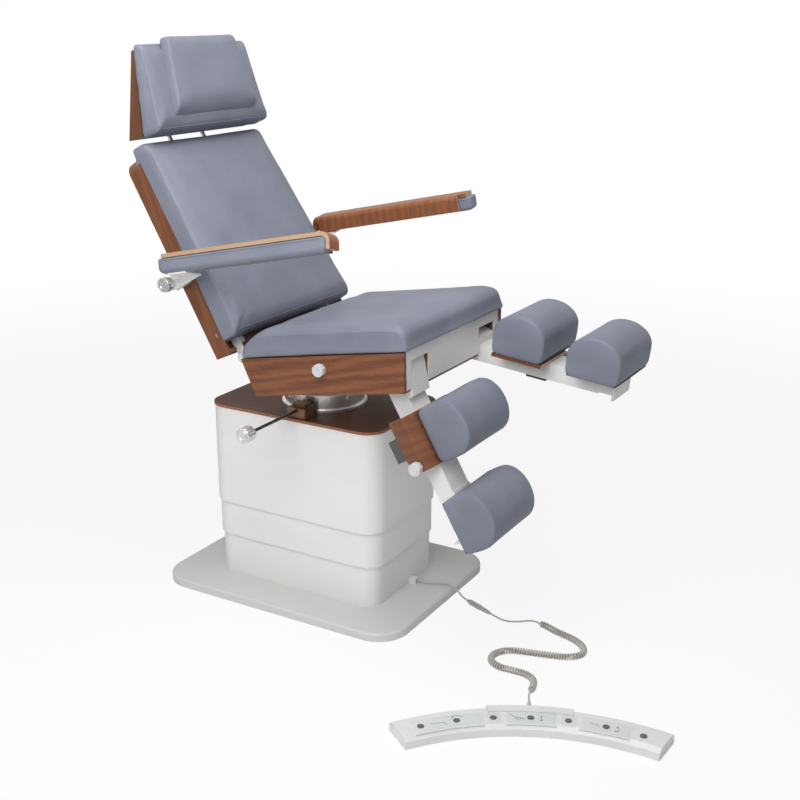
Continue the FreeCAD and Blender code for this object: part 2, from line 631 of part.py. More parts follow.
def pad_section(half, thick, shoulder, bulge, crown, lay):
    """A cushion's cross section: flat base, bowed sides, round shoulders and a crowned face."""
    side = thick - shoulder
    top = half - shoulder
    turn = shoulder * (1 - math.sqrt(0.5))
    corners = {
        "low_left": (-half, 0), "low_right": (half, 0),
        "side_right": (half, side), "top_right": (top, thick),
        "top_left": (-top, thick), "side_left": (-half, side),
    }
    at = {name: lay(*corner) for name, corner in corners.items()}
    return Part.Wire([
        line_edge(at["low_left"], at["low_right"]),
        arc_edge(at["low_right"], lay(half + bulge, side * 0.5), at["side_right"]),
        arc_edge(at["side_right"], lay(half - turn, thick - turn), at["top_right"]),
        arc_edge(at["top_right"], lay(0, thick + crown), at["top_left"]),
        arc_edge(at["top_left"], lay(-half + turn, thick - turn), at["side_left"]),
        arc_edge(at["side_left"], lay(-half - bulge, side * 0.5), at["low_left"]),
    ])


def cushion_shape(stations, lay):
    """A loft through stations of (place, half width, base, thickness, shoulder, bulge, crown)."""
    wires = []
    for place, half, base, thick, shoulder, bulge, crown in stations:
        def put(x, z, place=place, base=base):
            return lay(x, place, base + z)
        wires.append(pad_section(half, thick, shoulder, bulge, crown, put))
    return Part.makeLoft(wires, True, True)


END_SHARES = ((0, 0.45), (0.18, 0.74), (0.5, 0.93), (1, 1))


def rounded_stations(low, high, end_low, end_high, middle):
    """Stations from low to high whose ends swell up over end_low and end_high.

    middle gives (half, base, thick) at a place; an end's share gives how full the section is."""
    places = []
    for share, full in END_SHARES:
        places.append((low + end_low * share, full, end_low))
    for share in (0.25, 0.5, 0.75):
        places.append((low + end_low + (high - low - end_low - end_high) * share, 1, 0))
    for share, full in reversed(END_SHARES):
        places.append((high - end_high * share, full, end_high))
    stations = []
    for place, full, end in places:
        half, base, thick = middle(place)
        along = (place - low) / (high - low)
        pull = SIDE_PULL_SHARE * half * (1 - (2 * along - 1) ** 2)
        thick = thick * full
        half = half - pull - (1 - full) * end * 0.6
        shoulder = thick * 0.34
        stations.append((place, half, base, thick, shoulder, thick * 0.05, thick * 0.05))
    return stations


SIDE_PULL_SHARE = 0.018


def seat_cushion():
    """Flat front to rear with a rolled front edge and a rounded rear top corner."""
    half = s.seat_cushion_half.value
    front, rear = -s.seat_cushion_front.value, s.seat_cushion_rear.value
    base = s.tray_rise.value + s.soft_gap.value
    long = rear - front
    profile_shares = (
        (0, 0.5), (0.018, 0.7), (0.05, 0.84), (0.11, 0.93), (0.2, 0.96), (0.4, 0.97), (0.6, 1), (0.8, 1),
        (0.86, 0.985), (0.905, 0.89), (0.945, 0.7), (0.975, 0.56), (1, 0.38),
    )
    tall = s.seat_cushion_thick.value
    stations = []
    for share, full in profile_shares:
        place = front + long * share
        thick = tall * full
        pull = half * SIDE_PULL_SHARE * (1 - (2 * share - 1) ** 2)
        edge = half - pull - half * 0.02 * (1 - full)
        stations.append((place, edge, base, thick, thick * 0.34, thick * 0.03, thick * 0.02))
    item = own_shape("seat_cushion_form", cushion_shape(stations, lambda x, y, z: (x, y, z)))
    finish_on_seat(item, "seat_cushion")


# Back
def back_point(y, z):
    """A point of the back frame, carried by the tilt and the lean, as (y, z) in the chair."""
    pin = seat_point(s.back_y, s.back_z)
    lean = s.seat_tilt_angle + s.back_lean_angle
    return (pin[0] + y * cosine(lean) + z * sine(lean), pin[1] - y * sine(lean) + z * cosine(lean))


def finish_on_back(item, label, x=0, y=0, z=0):
    place = back_point(y, z)
    lean = s.seat_tilt_angle + s.back_lean_angle
    return finish(item, label, (x, place[0], place[1]), lean, (-1, 0, 0))


def back_half(up):
    """Half width of the back at a height along it."""
    span = s.back_cushion_high - s.back_cushion_low
    return s.back_half_low - (up - s.back_cushion_low) * (s.back_half_low - s.back_half_high) / span


def back_cushion():
    low, high = s.back_cushion_low.value, s.back_cushion_high.value
    thick = s.back_cushion_thick.value
    back = s.back_face.value - thick

    def middle(place):
        half = number(back_half(Size(place, "")))
        top_share = max(0, (place - (high - thick * 3)) / (thick * 3))
        return half, back, thick * (0.92 - 0.2 * top_share ** 2)

    stations = rounded_stations(low, high, thick * 0.7, thick * 0.6, middle)
    item = own_shape("back_cushion_form", cushion_shape(stations, lambda x, y, z: (x, -z, y)))
    finish_on_back(item, "back_cushion")


def back_shell():
    front = s.back_face - s.back_cushion_thick - s.soft_gap
    inset = s.shell_inset

    def outline(low, high, wall):
        low_half, high_half = back_half(low) - inset - wall, back_half(high) - inset - wall
        return [(-low_half, low), (low_half, low), (high_half, high), (-high_half, high)]

    deep = front + s.shell_rear
    corner = s.shell_wall * 4
    outer = slab("back_shell_outer", "XZ_Plane", outline(s.shell_low, s.shell_high, 0), deep,
                 ((2, corner), (3, corner)))
    seat_it(outer, (0, s.shell_rear - deep / 2, 0))
    wall = s.shell_wall
    inner = slab("back_shell_inner", "XZ_Plane", outline(s.shell_low + wall, s.shell_high - wall, wall),
                 deep, ((2, corner - wall), (3, corner - wall)))
    seat_it(inner, (0, s.shell_rear - deep / 2 - wall, 0))
    holes = [inner]
    for sign in (-1, 1):
        place = (s.head_rod_out * sign, s.head_rod_back, s.shell_high - wall * 2)
        holes.append(rod("rod_hole", s.head_rod_radius + s.slip * 3, wall * 4, place))
        low_end = s.back_ear_out - s.back_arm_thick * 3
        start = low_end * sign if sign > 0 else -low_end - s.back_arm_thick * 5
        slot_place = (start + s.back_arm_thick * 2.5, 0, s.shell_low - s.overrun)
        deep_slot = s.back_face
        slot = box("arm_slot", s.back_arm_thick * 5, deep_slot, wall + s.overrun * 2, slot_place)
        holes.append(slot)
    reach = s.rest_plate_in + s.rest_plate_thick
    rod_place = (-reach, s.rest_rod_back, s.rest_pivot_up)
    holes.append(rod("rest_rod_hole", s.rest_rod_radius + s.slip, reach * 2, rod_place, X))
    finish_on_back(cut("back_wood", outer, holes), "back_shell")


def back_frame():
    parts = []
    bores = []
    for sign in (-1, 1):
        x = s.back_arm_out * sign
        start = (x - s.back_arm_thick / 2, 0, 0)
        parts.append(rod("arm_boss", s.back_ear_round, s.back_arm_thick, start, X))
        low_deep = s.arm_tube_deep
        tall = s.shell_low + s.shell_wall * 4
        parts.append(box("arm_link", s.back_arm_thick, low_deep, tall, (x, s.rest_rod_back * 0.4, 0)))
        tube_low = s.shell_low + s.shell_wall * 2
        parts.append(box("arm_tube", s.arm_tube_wide, s.arm_tube_deep, s.arm_tube_high - tube_low,
                         (s.arm_tube_out * sign, s.rest_rod_back, tube_low)))
        plate_x = (s.rest_plate_in + s.rest_plate_thick / 2) * sign
        plate_deep = s.rest_pivot_back - s.rest_rod_back + s.rest_plate_half * 1.4
        plate_y = (s.rest_pivot_back + s.rest_rod_back) / 2
        plate_z = s.rest_pivot_up - s.rest_plate_half
        plate_at = (plate_x, plate_y, plate_z)
        parts.append(box("rest_plate", s.rest_plate_thick, plate_deep, s.rest_plate_half * 2, plate_at))
        pin_long = s.knob_start - s.rest_plate_in + s.arm_knob_well * 0.8
        pin_start = s.rest_plate_in if sign > 0 else -s.rest_plate_in - pin_long
        pin_at = (pin_start, s.rest_pivot_back, s.rest_pivot_up)
        parts.append(rod("rest_pin", s.rest_pin_radius, pin_long, pin_at, X))
        bores.append(rod("back_bore", s.back_pin_radius + s.fit, s.back_arm_thick * 3,
                         (x - s.back_arm_thick * 1.5, 0, 0), X))
        guide_place = (s.head_rod_out * sign, s.head_rod_back, s.guide_low - s.overrun)
        guide_tall = s.guide_high - s.guide_low + s.overrun * 2
        bores.append(rod("guide_bore", s.head_rod_radius + s.fit, guide_tall, guide_place))
    reach = s.rest_plate_in + s.rest_plate_thick / 2
    rod_at = (-reach, s.rest_rod_back, s.rest_pivot_up)
    parts.append(rod("rest_rod", s.rest_rod_radius, reach * 2, rod_at, X))
    parts.append(box("guide_block", s.guide_wide, s.guide_deep, s.guide_high - s.guide_low,
                     (0, s.guide_back, s.guide_low)))
    rail_z = (s.guide_low + s.guide_high - s.guide_rail_tall) / 2
    parts.append(box("top_rail", s.arm_tube_out * 2, s.arm_tube_deep, s.guide_rail_tall,
                     (0, s.rest_rod_back, rail_z)))
    finish_on_back(cut("back_steel", fuse("back_steel_solid", parts), bores), "back_frame")


# Headrest, on two rods that slide in the back's guide block
def head_place():
    """The headrest frame's origin on the back."""
    return back_point(-s.head_out, s.head_up)


def in_head(y, z):
    """A point of the back frame, seen in the headrest frame."""
    y, z = y + s.head_out, z - s.head_up
    return (y * cosine(s.head_lean_angle) + z * sine(s.head_lean_angle),
            z * cosine(s.head_lean_angle) - y * sine(s.head_lean_angle))


def finish_on_head(item, label):
    place = head_place()
    lean = s.seat_tilt_angle + s.back_lean_angle - s.head_lean_angle
    return finish(item, label, (0, place[0], place[1]), lean, (-1, 0, 0))


def head_half(place):
    span = s.head_top.value + s.head_foot.value
    share = (place + s.head_foot.value) / span
    return s.head_half_low.value + (s.head_half_high.value - s.head_half_low.value) * share


def head_depth(place, top, foot):
    """A depth that grows from the headrest's top to its foot."""
    share = (s.head_top.value - place) / (s.head_top.value + s.head_foot.value)
    return top + (foot - top) * share


def headrest_cushion():
    low, high = -s.head_foot.value, s.head_top.value

    def middle(place):
        depth = head_depth(place, s.head_pad_top.value, s.head_pad_foot.value)
        return head_half(place), -depth, depth

    ends = s.head_pad_top.value * 0.5
    stations = rounded_stations(low, high, ends * 1.4, ends, middle)
    main = cushion_shape(stations, lambda x, y, z: (x, -z, y))
    pillow_low = -s.pillow_low.value
    pillow_high = pillow_low + s.pillow_tall.value
    sunk = s.soft_gap.value * 10

    def pillow_middle(place):
        share = (place - pillow_low) / (pillow_high - pillow_low)
        half = s.pillow_half_low.value + (s.pillow_half_high.value - s.pillow_half_low.value) * share
        return half, -sunk, s.pillow_thick.value + sunk

    ends = s.pillow_thick.value
    stations = rounded_stations(pillow_low, pillow_high, ends, ends, pillow_middle)
    pillow = cushion_shape(stations, lambda x, y, z: (x, -z, y))
    finish_on_head(own_shape("headrest_form", main.fuse(pillow)), "headrest_cushion")


def wedge_back(z):
    """How far back the headrest's wood reaches at a height of its frame."""
    high = s.head_top - s.head_wood_drop
    share = (high - z) / (high + s.head_wood_low)
    top = s.head_pad_top + s.soft_gap * 2 + s.head_wood_top
    return top + (wedge_front() + s.head_wood_foot - top) * share


def wedge_front():
    """Where the wood starts behind the cushion at its foot."""
    share = (s.head_top + s.head_wood_low) / (s.head_top + s.head_foot)
    return s.head_pad_top + (s.head_pad_foot - s.head_pad_top) * share + s.soft_gap


def headrest_shell():
    low, high = -s.head_wood_low, s.head_top - s.head_wood_drop
    front_high = s.head_pad_top + s.soft_gap * 4
    outline = [(wedge_front(), low), (wedge_back(low), low), (wedge_back(high), high), (front_high, high)]
    wedge = slab("head_wedge", "YZ_Plane", outline, s.head_half_low * 2)
    trims = []
    grow = (s.head_half_low - s.head_half_high) * 1.3
    for sign in (-1, 1):
        low_x = (s.head_half_low - s.shell_inset * 2) * sign
        high_x = (s.head_half_high - s.shell_inset * 2) * sign
        far_x = (s.head_half_low + grow) * sign
        points = [(low_x, -s.head_foot), (far_x, -s.head_foot), (far_x, s.head_top), (high_x, s.head_top)]
        trims.append(slab("head_trim", "XZ_Plane", points, s.head_pad_foot * 4))
    finish_on_head(cut("head_wood", wedge, trims), "headrest_shell")


def headrest_rods():
    """Two rods in the back's guide, each with a gusset plate up to the headrest's wood."""
    parts = []
    start = in_head(s.head_rod_back, s.head_rod_low)
    rear_low = in_head(s.head_rod_back + s.head_rod_radius * 1.3, s.gusset_start)
    rear_high = in_head(s.head_rod_back + s.head_rod_radius * 1.3, s.head_rod_high - s.slip)
    low, high = -s.gusset_low, -s.gusset_high
    outline = [(wedge_back(low) + s.fit, low), rear_low, rear_high, (wedge_back(high) + s.fit, high)]
    for sign in (-1, 1):
        x = s.head_rod_out * sign
        bar = rod("head_rod", s.head_rod_radius, s.head_rod_high - s.head_rod_low)
        parts.append(seat_it(bar, (x, start[0], start[1]), s.head_lean_angle, (-1, 0, 0)))
        gusset = slab("head_gusset", "YZ_Plane", outline, s.gusset_wide)
        parts.append(seat_it(gusset, (x, 0, 0)))
    tie = box("head_rod_tie", s.head_rod_out * 2, s.head_rod_radius * 0.7, s.head_rod_radius * 2)
    parts.append(seat_it(tie, (-s.head_rod_out, start[0], start[1]), s.head_lean_angle, (-1, 0, 0)))
    finish_on_head(fuse("head_rods", parts), "headrest_rods")


# Armrests
def arm_place(pitch, y, z):
    """A point of an armrest frame, carried by the back's pivot pin, as (y, z) in the chair."""
    pin = back_point(s.rest_pivot_back, s.rest_pivot_up)
    return (pin[0] + y * cosine(pitch) + z * sine(pitch), pin[1] - y * sine(pitch) + z * cosine(pitch))


ARM_PAD_SHARES = ((0, 0.55), (0.02, 0.85), (0.05, 1), (0.5, 1), (0.95, 1), (0.98, 0.85), (1, 0.55))


def armrest_strip(side, sign, place, turns, hook_in_front):
    """A wooden strip that bends down over the pad's one end and along the pad's inner side."""
    nought = s.arm_long * 0
    way = -1 if hook_in_front else 1
    start, end = (nought, -s.arm_long) if hook_in_front else (-s.arm_long, nought)
    thick = s.arm_strip_thick
    outline = [
        (start, -thick), (start, nought), (end, nought), (end, -s.strip_hook),
        (end - thick * way, -s.strip_hook), (end - thick * way, -thick),
    ]
    bends = ((2, s.strip_bend), (5, s.strip_bend - thick))
    top = slab(side + "_strip_top", "YZ_Plane", outline, s.arm_wide - s.strip_side_bend, bends)
    seat_it(top, (s.strip_side_bend / 2 * sign, 0, 0))
    inner = s.arm_wide / 2 * -sign
    foot = -(thick + s.arm_pad_thick - s.strip_side_lift)
    skin = inner + s.strip_side_thick * sign
    lap = inner + s.strip_side_bend * 2 * sign
    profile = [(inner, nought), (inner, foot), (skin, foot), (skin, -thick), (lap, -thick), (lap, nought)]
    bends = ((0, s.strip_side_bend), (3, s.strip_side_bend - s.strip_side_thick))
    long = s.arm_long - s.strip_bend - s.strip_side_short
    flank = slab(side + "_strip_side", "XZ_Plane", profile, long, bends)
    seat_it(flank, (0, -s.arm_long / 2 - (s.strip_bend - s.strip_side_short) / 2 * way, 0))
    finish_rolled(fuse(side + "_strip", [top, flank]), side + "_armrest_strip", place, turns, sign)


def armrest_pad(side, sign, place, turns, hook_in_front):
    """The pad under the strip, drawn in towards both ends."""
    tall = s.arm_pad_thick.value - s.soft_gap.value
    crown = tall * 0.02
    side_room = s.strip_side_bend.value + s.soft_gap.value
    half = (s.arm_wide.value - side_room) / 2
    aside = side_room / 2 * sign
    top = s.arm_strip_thick.value + s.soft_gap.value
    if hook_in_front:
        low, high = -s.arm_long.value + s.pad_inset.value, s.pad_over.value
    else:
        low, high = -s.arm_long.value - s.pad_over.value, -s.pad_inset.value
    stations = []
    for share, full in ARM_PAD_SHARES:
        drop = tall * (1 - full) * 0.4
        thick = tall * full
        stations.append((low + (high - low) * share, half * (0.75 + 0.25 * full), top + drop, thick,
                         thick * 0.4, crown * full, crown * full))
    pad = own_shape(side + "_arm_pad_form", cushion_shape(stations, lambda x, y, z: (x + aside, y, -z)))
    finish_rolled(pad, side + "_armrest_pad", place, turns, sign)


def armrest_bracket(side, sign, turns, top, rear):
    """A plate on the pivot hub, with a foot rolled to lie under the pad."""
    pitch, roll = turns
    under = s.arm_strip_thick + s.arm_pad_thick
    foot_y = s.bracket_foot_long
    foot_z = under + s.soft_gap * 4.5 + s.bracket_foot_thick
    foot_x = -(s.arm_x - s.bracket_in + foot_z * sine(roll)) / cosine(roll)
    foot = doc.addObject("Part::Box", side + "_arm_foot")
    bind(foot, Length=s.bracket_foot_wide, Width=foot_y, Height=s.bracket_foot_thick)
    inner = foot_x if sign > 0 else -foot_x - s.bracket_foot_wide
    x = s.arm_x * sign + inner * cosine(roll) + foot_z * sine(roll) * sign
    z = top + inner * sine(roll) * sign - foot_z * cosine(roll)
    seat_it(foot, (x, rear - foot_y, z), roll, (0, -sign, 0))
    plate_x = s.bracket_in + s.bracket_thick / 2
    lift = (s.arm_x - s.bracket_in) * sine(roll) / cosine(roll)
    plate_top = top - (foot_z - s.bracket_foot_thick * 0.4) / cosine(roll) - lift
    nought = s.bracket_round * 0
    outline = [
        (s.bracket_round, nought), (rear, plate_top), (rear - foot_y, plate_top),
        (-s.bracket_round * 0.6, -s.bracket_round), (s.bracket_round * 0.4, -s.bracket_round),
    ]
    plate = slab(side + "_arm_plate", "YZ_Plane", outline, s.bracket_thick)
    seat_it(plate, (plate_x * sign, 0, 0))
    hub_in = s.rest_plate_in + s.rest_plate_thick + s.slip
    hub_out = s.knob_start - s.slip
    hub_start = hub_in if sign > 0 else -hub_out
    hub = rod(side + "_arm_hub", s.hub_radius, hub_out - hub_in, (hub_start, 0, 0), X)
    bore = rod(side + "_arm_bore", s.rest_pin_radius + s.fit, hub_out, (hub_start - s.overrun, 0, 0), X)
    pin = back_point(s.rest_pivot_back, s.rest_pivot_up)
    solid = cut(side + "_arm_bracket", fuse(side + "_arm_steel", [plate, foot, hub]), [bore])
    finish(solid, side + "_armrest_bracket", (0, pin[0], pin[1]), pitch, (-1, 0, 0))


def armrest_knob(side, sign):
    """The lock knob on the end of the pivot pin."""
    grip = rod(side + "_arm_grip", s.arm_knob_radius, s.arm_knob_long - s.knob_bevel)
    tip = cone(side + "_arm_tip", s.arm_knob_radius, s.arm_knob_radius - s.knob_bevel, s.knob_bevel,
               (0, 0, s.arm_knob_long - s.knob_bevel))
    deep = s.arm_knob_well + s.overrun
    well = rod(side + "_arm_well", s.rest_pin_radius + s.fit, deep, (0, 0, -s.overrun))
    pin = back_point(s.rest_pivot_back, s.rest_pivot_up)
    lock = cut(side + "_arm_lock", fuse(side + "_arm_lock_solid", [grip, tip]), [well])
    finish(lock, side + "_armrest_knob", (s.knob_start * sign, pin[0], pin[1]), 90, (0, sign, 0))


def armrest(side, sign, turns, front, top, hook_in_front):
    """One armrest, pitched and rolled by its turns. Its strip and pad are rolled towards the patient."""
    rear = -front + s.arm_long
    spot = arm_place(turns[0], rear, top)
    place = (s.arm_x * sign, spot[0], spot[1])
    armrest_strip(side, sign, place, turns, hook_in_front)
    armrest_pad(side, sign, place, turns, hook_in_front)
    armrest_bracket(side, sign, turns, top, rear - s.pad_inset)
    armrest_knob(side, sign)


# Leg rests
def leg_place(angle, x, along, above):
    """A point of a leg frame as (x, y, z) in the chair."""
    pin = seat_point(-s.knee_y, -s.knee_z)
    return (x, pin[0] - along * cosine(angle) - above * sine(angle),
            pin[1] - along * sine(angle) + above * cosine(angle))


def finish_on_leg(item, label, sign, angle, along=None, above=None):
    nought = s.knee_x * 0
    along = nought if along is None else along
    above = nought if above is None else above
    place = leg_place(angle, s.knee_x * sign, along, above)
    return finish(item, label, place, angle, X)


def leg_bar(side, sign, angle):
    half = s.bar_deep / 2
    outline = [(s.knuckle_heel, -half), (-s.knuckle_front, -half), (-s.knuckle_brow, s.knuckle_brow_up),
               (s.knuckle_crown_back, s.knuckle_crown_up), (s.knuckle_heel * 1.6, s.knuckle_heel * 1.4)]
    knuckle = slab(side + "_knuckle", "YZ_Plane", outline, s.bar_wide)
    long = s.bar_end - s.bar_start
    bar = box(side + "_bar_tube", s.bar_wide, long, s.bar_deep, (0, -s.bar_start - long / 2, -half))
    hollow_wide, hollow_tall = s.bar_wide - s.bar_wall * 2, s.bar_deep - s.bar_wall * 2
    start = s.knuckle_front + s.bar_wall * 2
    hollow_long = s.bar_end - start + s.overrun
    hollow = box(side + "_bar_hollow", hollow_wide, hollow_long, hollow_tall,
                 (0, -start - hollow_long / 2, -hollow_tall / 2))
    bore = rod(side + "_knee_bore", s.leg_pin_radius + s.fit, s.bar_wide + s.overrun * 2,
               (-s.bar_wide / 2 - s.overrun, 0, 0), X)
    solid = cut(side + "_bar_cut", fuse(side + "_bar_solid", [knuckle, bar]), [hollow, bore])
    finish_on_leg(solid, side + "_leg_bar", sign, angle)


def leg_extension(side, sign, angle, extension):
    wide = s.bar_wide - (s.bar_wall + s.tube_gap) * 2
    tall = s.bar_deep - (s.bar_wall + s.tube_gap) * 2
    long = s.tube_end - s.tube_start
    tube = box(side + "_inner_tube", wide, long, tall, (0, -s.tube_start - long / 2, -tall / 2))
    wall = s.tube_wall
    hollow_at = (0, -s.tube_start - long / 2, -tall / 2 + wall)
    hollow = box(side + "_inner_hollow", wide - wall * 2, long + s.overrun * 2, tall - wall * 2, hollow_at)
    tube_cut = cut(side + "_inner_cut", tube, [hollow])
    shelf_low = s.bar_deep / 2 + s.tube_gap
    plate_tall = s.end_plate_drop + shelf_low + s.shelf_thick
    plate = box(side + "_end_plate", s.end_plate_wide, s.end_plate_thick, plate_tall,
                (0, -s.tube_end - s.end_plate_thick / 2, -s.end_plate_drop))
    holes = []
    for hole_side in (-1, 1):
        holes.append(rod(side + "_end_hole", s.end_hole_radius, s.end_plate_thick * 3,
                         (s.end_hole_out * hole_side, -s.tube_end + s.end_plate_thick, 0), (0, -1, 0)))
    plate_cut = cut(side + "_end_cut", plate, holes)
    shelf = box(side + "_shelf", s.bar_wide, s.shelf_long, s.shelf_thick,
                (0, -s.tube_end + s.shelf_long / 2, shelf_low))
    solid = fuse(side + "_extension_solid", [tube_cut, plate_cut, shelf])
    finish_on_leg(solid, side + "_leg_extension", sign, angle, extension)


def pad_carrier(side, sign, angle, slide):
    """Bent board under the upper pad, wrapped round the bar's outer side, with its clamp."""
    top, thick, bulge = s.carrier_top, s.carrier_thick, s.carrier_bulge
    under = top - thick
    tuck = bulge - s.carrier_tuck
    outline = [
        (-s.carrier_inner * sign, top), (s.carrier_outer * sign, top), (bulge * sign, s.carrier_waist),
        (bulge * sign, -s.carrier_skirt), (tuck * sign, -s.carrier_low),
        ((tuck - thick) * sign, -s.carrier_low + thick * 0.4),
        ((bulge - thick) * sign, -s.carrier_skirt + thick * 0.2),
        ((bulge - thick) * sign, s.carrier_waist - thick * 0.4),
        ((s.carrier_outer - thick * 0.4) * sign, under),
        (-s.carrier_inner * sign, under),
    ]
    big, small = s.carrier_round, s.carrier_round - thick * 0.8
    rounds = ((1, big), (2, big), (7, small), (8, small))
    board = slab(side + "_bent_board", "XZ_Plane", outline, s.carrier_long, rounds)
    block = clamp_box(side + "_clamp", sign, s.clamp_in, s.clamp_out, s.clamp_shift - s.clamp_long / 2,
                      s.clamp_shift + s.clamp_long / 2, -s.clamp_low, s.carrier_waist)
    nought = s.clamp_low * 0
    boss = clamp_box(side + "_clamp_boss", sign, s.clamp_in, s.clamp_boss_out,
                     s.clamp_shift, s.clamp_boss_end, -s.clamp_boss_low, nought)
    deep = s.carrier_low + s.carrier_low
    corner = [(-s.corner_cut_start, -s.carrier_low), (-s.corner_cut_start, -deep),
              (-s.corner_cut_end, -deep), (-s.corner_cut_end, -s.corner_cut_up)]
    trim = slab(side + "_corner_trim", "YZ_Plane", corner, s.carrier_outer - s.carrier_thick)
    seat_it(trim, (s.carrier_bulge * sign, 0, 0))
    bore = rod(side + "_calf_bore", s.calf_stud_radius + s.fit, thick * 3,
               (bulge * sign - thick * 1.5, -s.calf_knob_along, -s.calf_knob_down), X)
    solid = cut(side + "_carrier_cut", fuse(side + "_carrier_solid", [board, block, boss]), [trim, bore])
    finish_on_leg(solid, side + "_pad_carrier", sign, angle, slide)
    outside = (s.knee_x + bulge + s.slip) * sign
    start = leg_place(angle, outside, slide + s.calf_knob_along, -s.calf_knob_down)
    knob(side + "_calf_knob", s.calf_knob_radius, s.calf_knob_long, s.calf_stud_radius, thick * 1.4,
         start, 90, (0, sign, 0))


def clamp_box(name, sign, near, far, start, end, low, high):
    """A block beside the bar, from one reach outwards to another and from start to end along it."""
    x = (near + far) / 2 * sign
    return box(name, far - near, end - start, high - low, (x, -(start + end) / 2, low))


PAD_SHARES = ((0, 0.8), (0.04, 0.93), (0.12, 1), (0.5, 1), (0.88, 1), (0.96, 0.93), (1, 0.8))


def calf_pad(side, label, sign, angle, along, above, shift):
    """A D-shaped bolster across the leg, its base on the board under it."""
    long, base, tall = s.pad_long.value, s.pad_base.value / 2, s.pad_tall.value
    wires = []
    for share, full in PAD_SHARES:
        x = -long / 2 + long * share
        half, high = base * (0.55 + 0.45 * full), tall * full
        waist = high * 0.42
        brow = half * 0.5

        def put(y, z, x=x):
            return (x, y, z)

        wires.append(Part.Wire([
            line_edge(put(-half, 0), put(half, 0)),
            arc_edge(put(half, 0), put(half * 0.99, waist * 0.6), put(half * 0.88, waist)),
            arc_edge(put(half * 0.88, waist), put(half * 0.72, high * 0.76), put(brow, high * 0.925)),
            arc_edge(put(brow, high * 0.925), put(0, high), put(-brow, high * 0.925)),
            arc_edge(put(-brow, high * 0.925), put(-half * 0.72, high * 0.76), put(-half * 0.88, waist)),
            arc_edge(put(-half * 0.88, waist), put(-half * 0.99, waist * 0.6), put(-half, 0)),
        ]))
    form = own_shape(side + label + "_form", Part.makeLoft(wires, True, True))
    place = leg_place(angle, s.knee_x * sign + shift, along, above)
    finish(form, side + label, place, angle, X)


def leg_rest(side, sign, angle, slide, extension, upper_shift):
    leg_bar(side, sign, angle)
    leg_extension(side, sign, angle, extension)
    pad_carrier(side, sign, angle, slide)
    calf_pad(side, "_upper_calf_pad", sign, angle, slide, s.carrier_top + s.soft_gap, upper_shift)
    shelf_top = s.bar_deep / 2 + s.tube_gap + s.shelf_thick + s.soft_gap
    calf_pad(side, "_lower_calf_pad", sign, angle, s.lower_pad_at + extension, shelf_top, s.lower_shift)


# Foot control on the floor
def control_ring(name, profile, sweep):
    """A bevelled profile turned part of the way about the control's far centre."""
    body = doc.addObject("PartDesign::Body", name)
    sketch = sketch_outline(body, name + "_profile", "XZ_Plane", profile)
    turned = body.newObject("PartDesign::Revolution", name + "_turned")
    turned.Profile = sketch
    axis = next(item for item in body.Origin.OriginFeatures if item.Role == "Z_Axis")
    turned.ReferenceAxis = (axis, [""])
    bind(turned, Angle=sweep)
    return body


def button_spot(index, circle):
    """The X and Y of a button in the control's own frame, whose first end lies on +X."""
    turn = s.control_start_angle + s.button_first_angle + s.button_pitch_angle * index
    return (circle * cosine(turn), circle * sine(turn))


def foot_control():
    inner, outer, bevel = s.control_inner, s.control_outer, s.control_bevel
    profile = [(inner, 0), (outer, 0), (outer, s.control_side), (outer - bevel, s.control_tall),
               (inner + bevel, s.control_tall), (inner, s.control_side)]
    ring = control_ring("control_ring", profile, s.control_sweep_angle)
    hump_profile = [(s.hump_inner, s.control_tall / 2), (outer - s.slip, s.control_tall / 2),
                    (outer - s.slip, s.control_tall * 0.8),
                    (outer - bevel / 2, s.control_tall + s.hump_rise),
                    (s.hump_inner, s.control_tall + s.hump_rise)]
    hump = control_ring("control_hump", hump_profile, s.hump_half_angle * 2)
    seat_it(hump, (0, 0, 0), s.control_sweep_angle / 2 - s.hump_half_angle, Z)
    wells = []
    for index in range(7):
        x, y = button_spot(index, s.button_circle)
        place = (x, y, s.control_tall - s.button_well)
        wells.append(rod("button_well", s.button_radius + s.slip, s.button_well + s.overrun, place))
    housing = cut("control_housing", fuse("control_solid", [ring, hump]), wells)
    centre = (-s.control_x, -s.control_y, 0)
    finish(housing, "foot_control_housing", centre, s.control_start_angle, (0, 0, -1))

    for index in range(7):
        turn = s.button_first_angle + s.button_pitch_angle * index
        place = (-s.control_x + s.button_circle * cosine(turn), -s.control_y + s.button_circle * sine(turn),
                 s.control_tall + s.button_proud - s.button_tall)
        shaft = rod("button_shaft", s.button_radius, s.button_tall - s.button_proud / 3)
        cap = cone("button_cap", s.button_radius, s.button_radius * 0.85, s.button_proud / 3)
        seat_it(cap, (0, 0, s.button_tall - s.button_proud / 3))
        finish(fuse("button_solid", [shaft, cap]), "foot_button_%d" % (index + 1), place)


def cord_socket():
    """Tapered strain relief on the back of the foot control."""
    turn = s.control_sweep_angle / 2 - s.control_start_angle
    collar_long = s.socket_long * 0.3
    collar = rod("socket_collar", s.socket_radius, collar_long, (0, 0, 0), X)
    taper = cone("socket_taper", s.socket_radius * 0.85, s.socket_tip_radius, s.socket_long - collar_long,
                 (collar_long, 0, 0), X)
    reach = s.control_outer
    place = (-s.control_x + reach * cosine(turn), -s.control_y + reach * sine(turn), s.socket_rise)
    finish(fuse("socket_solid", [collar, taper]), "foot_control_socket", place, turn, Z)


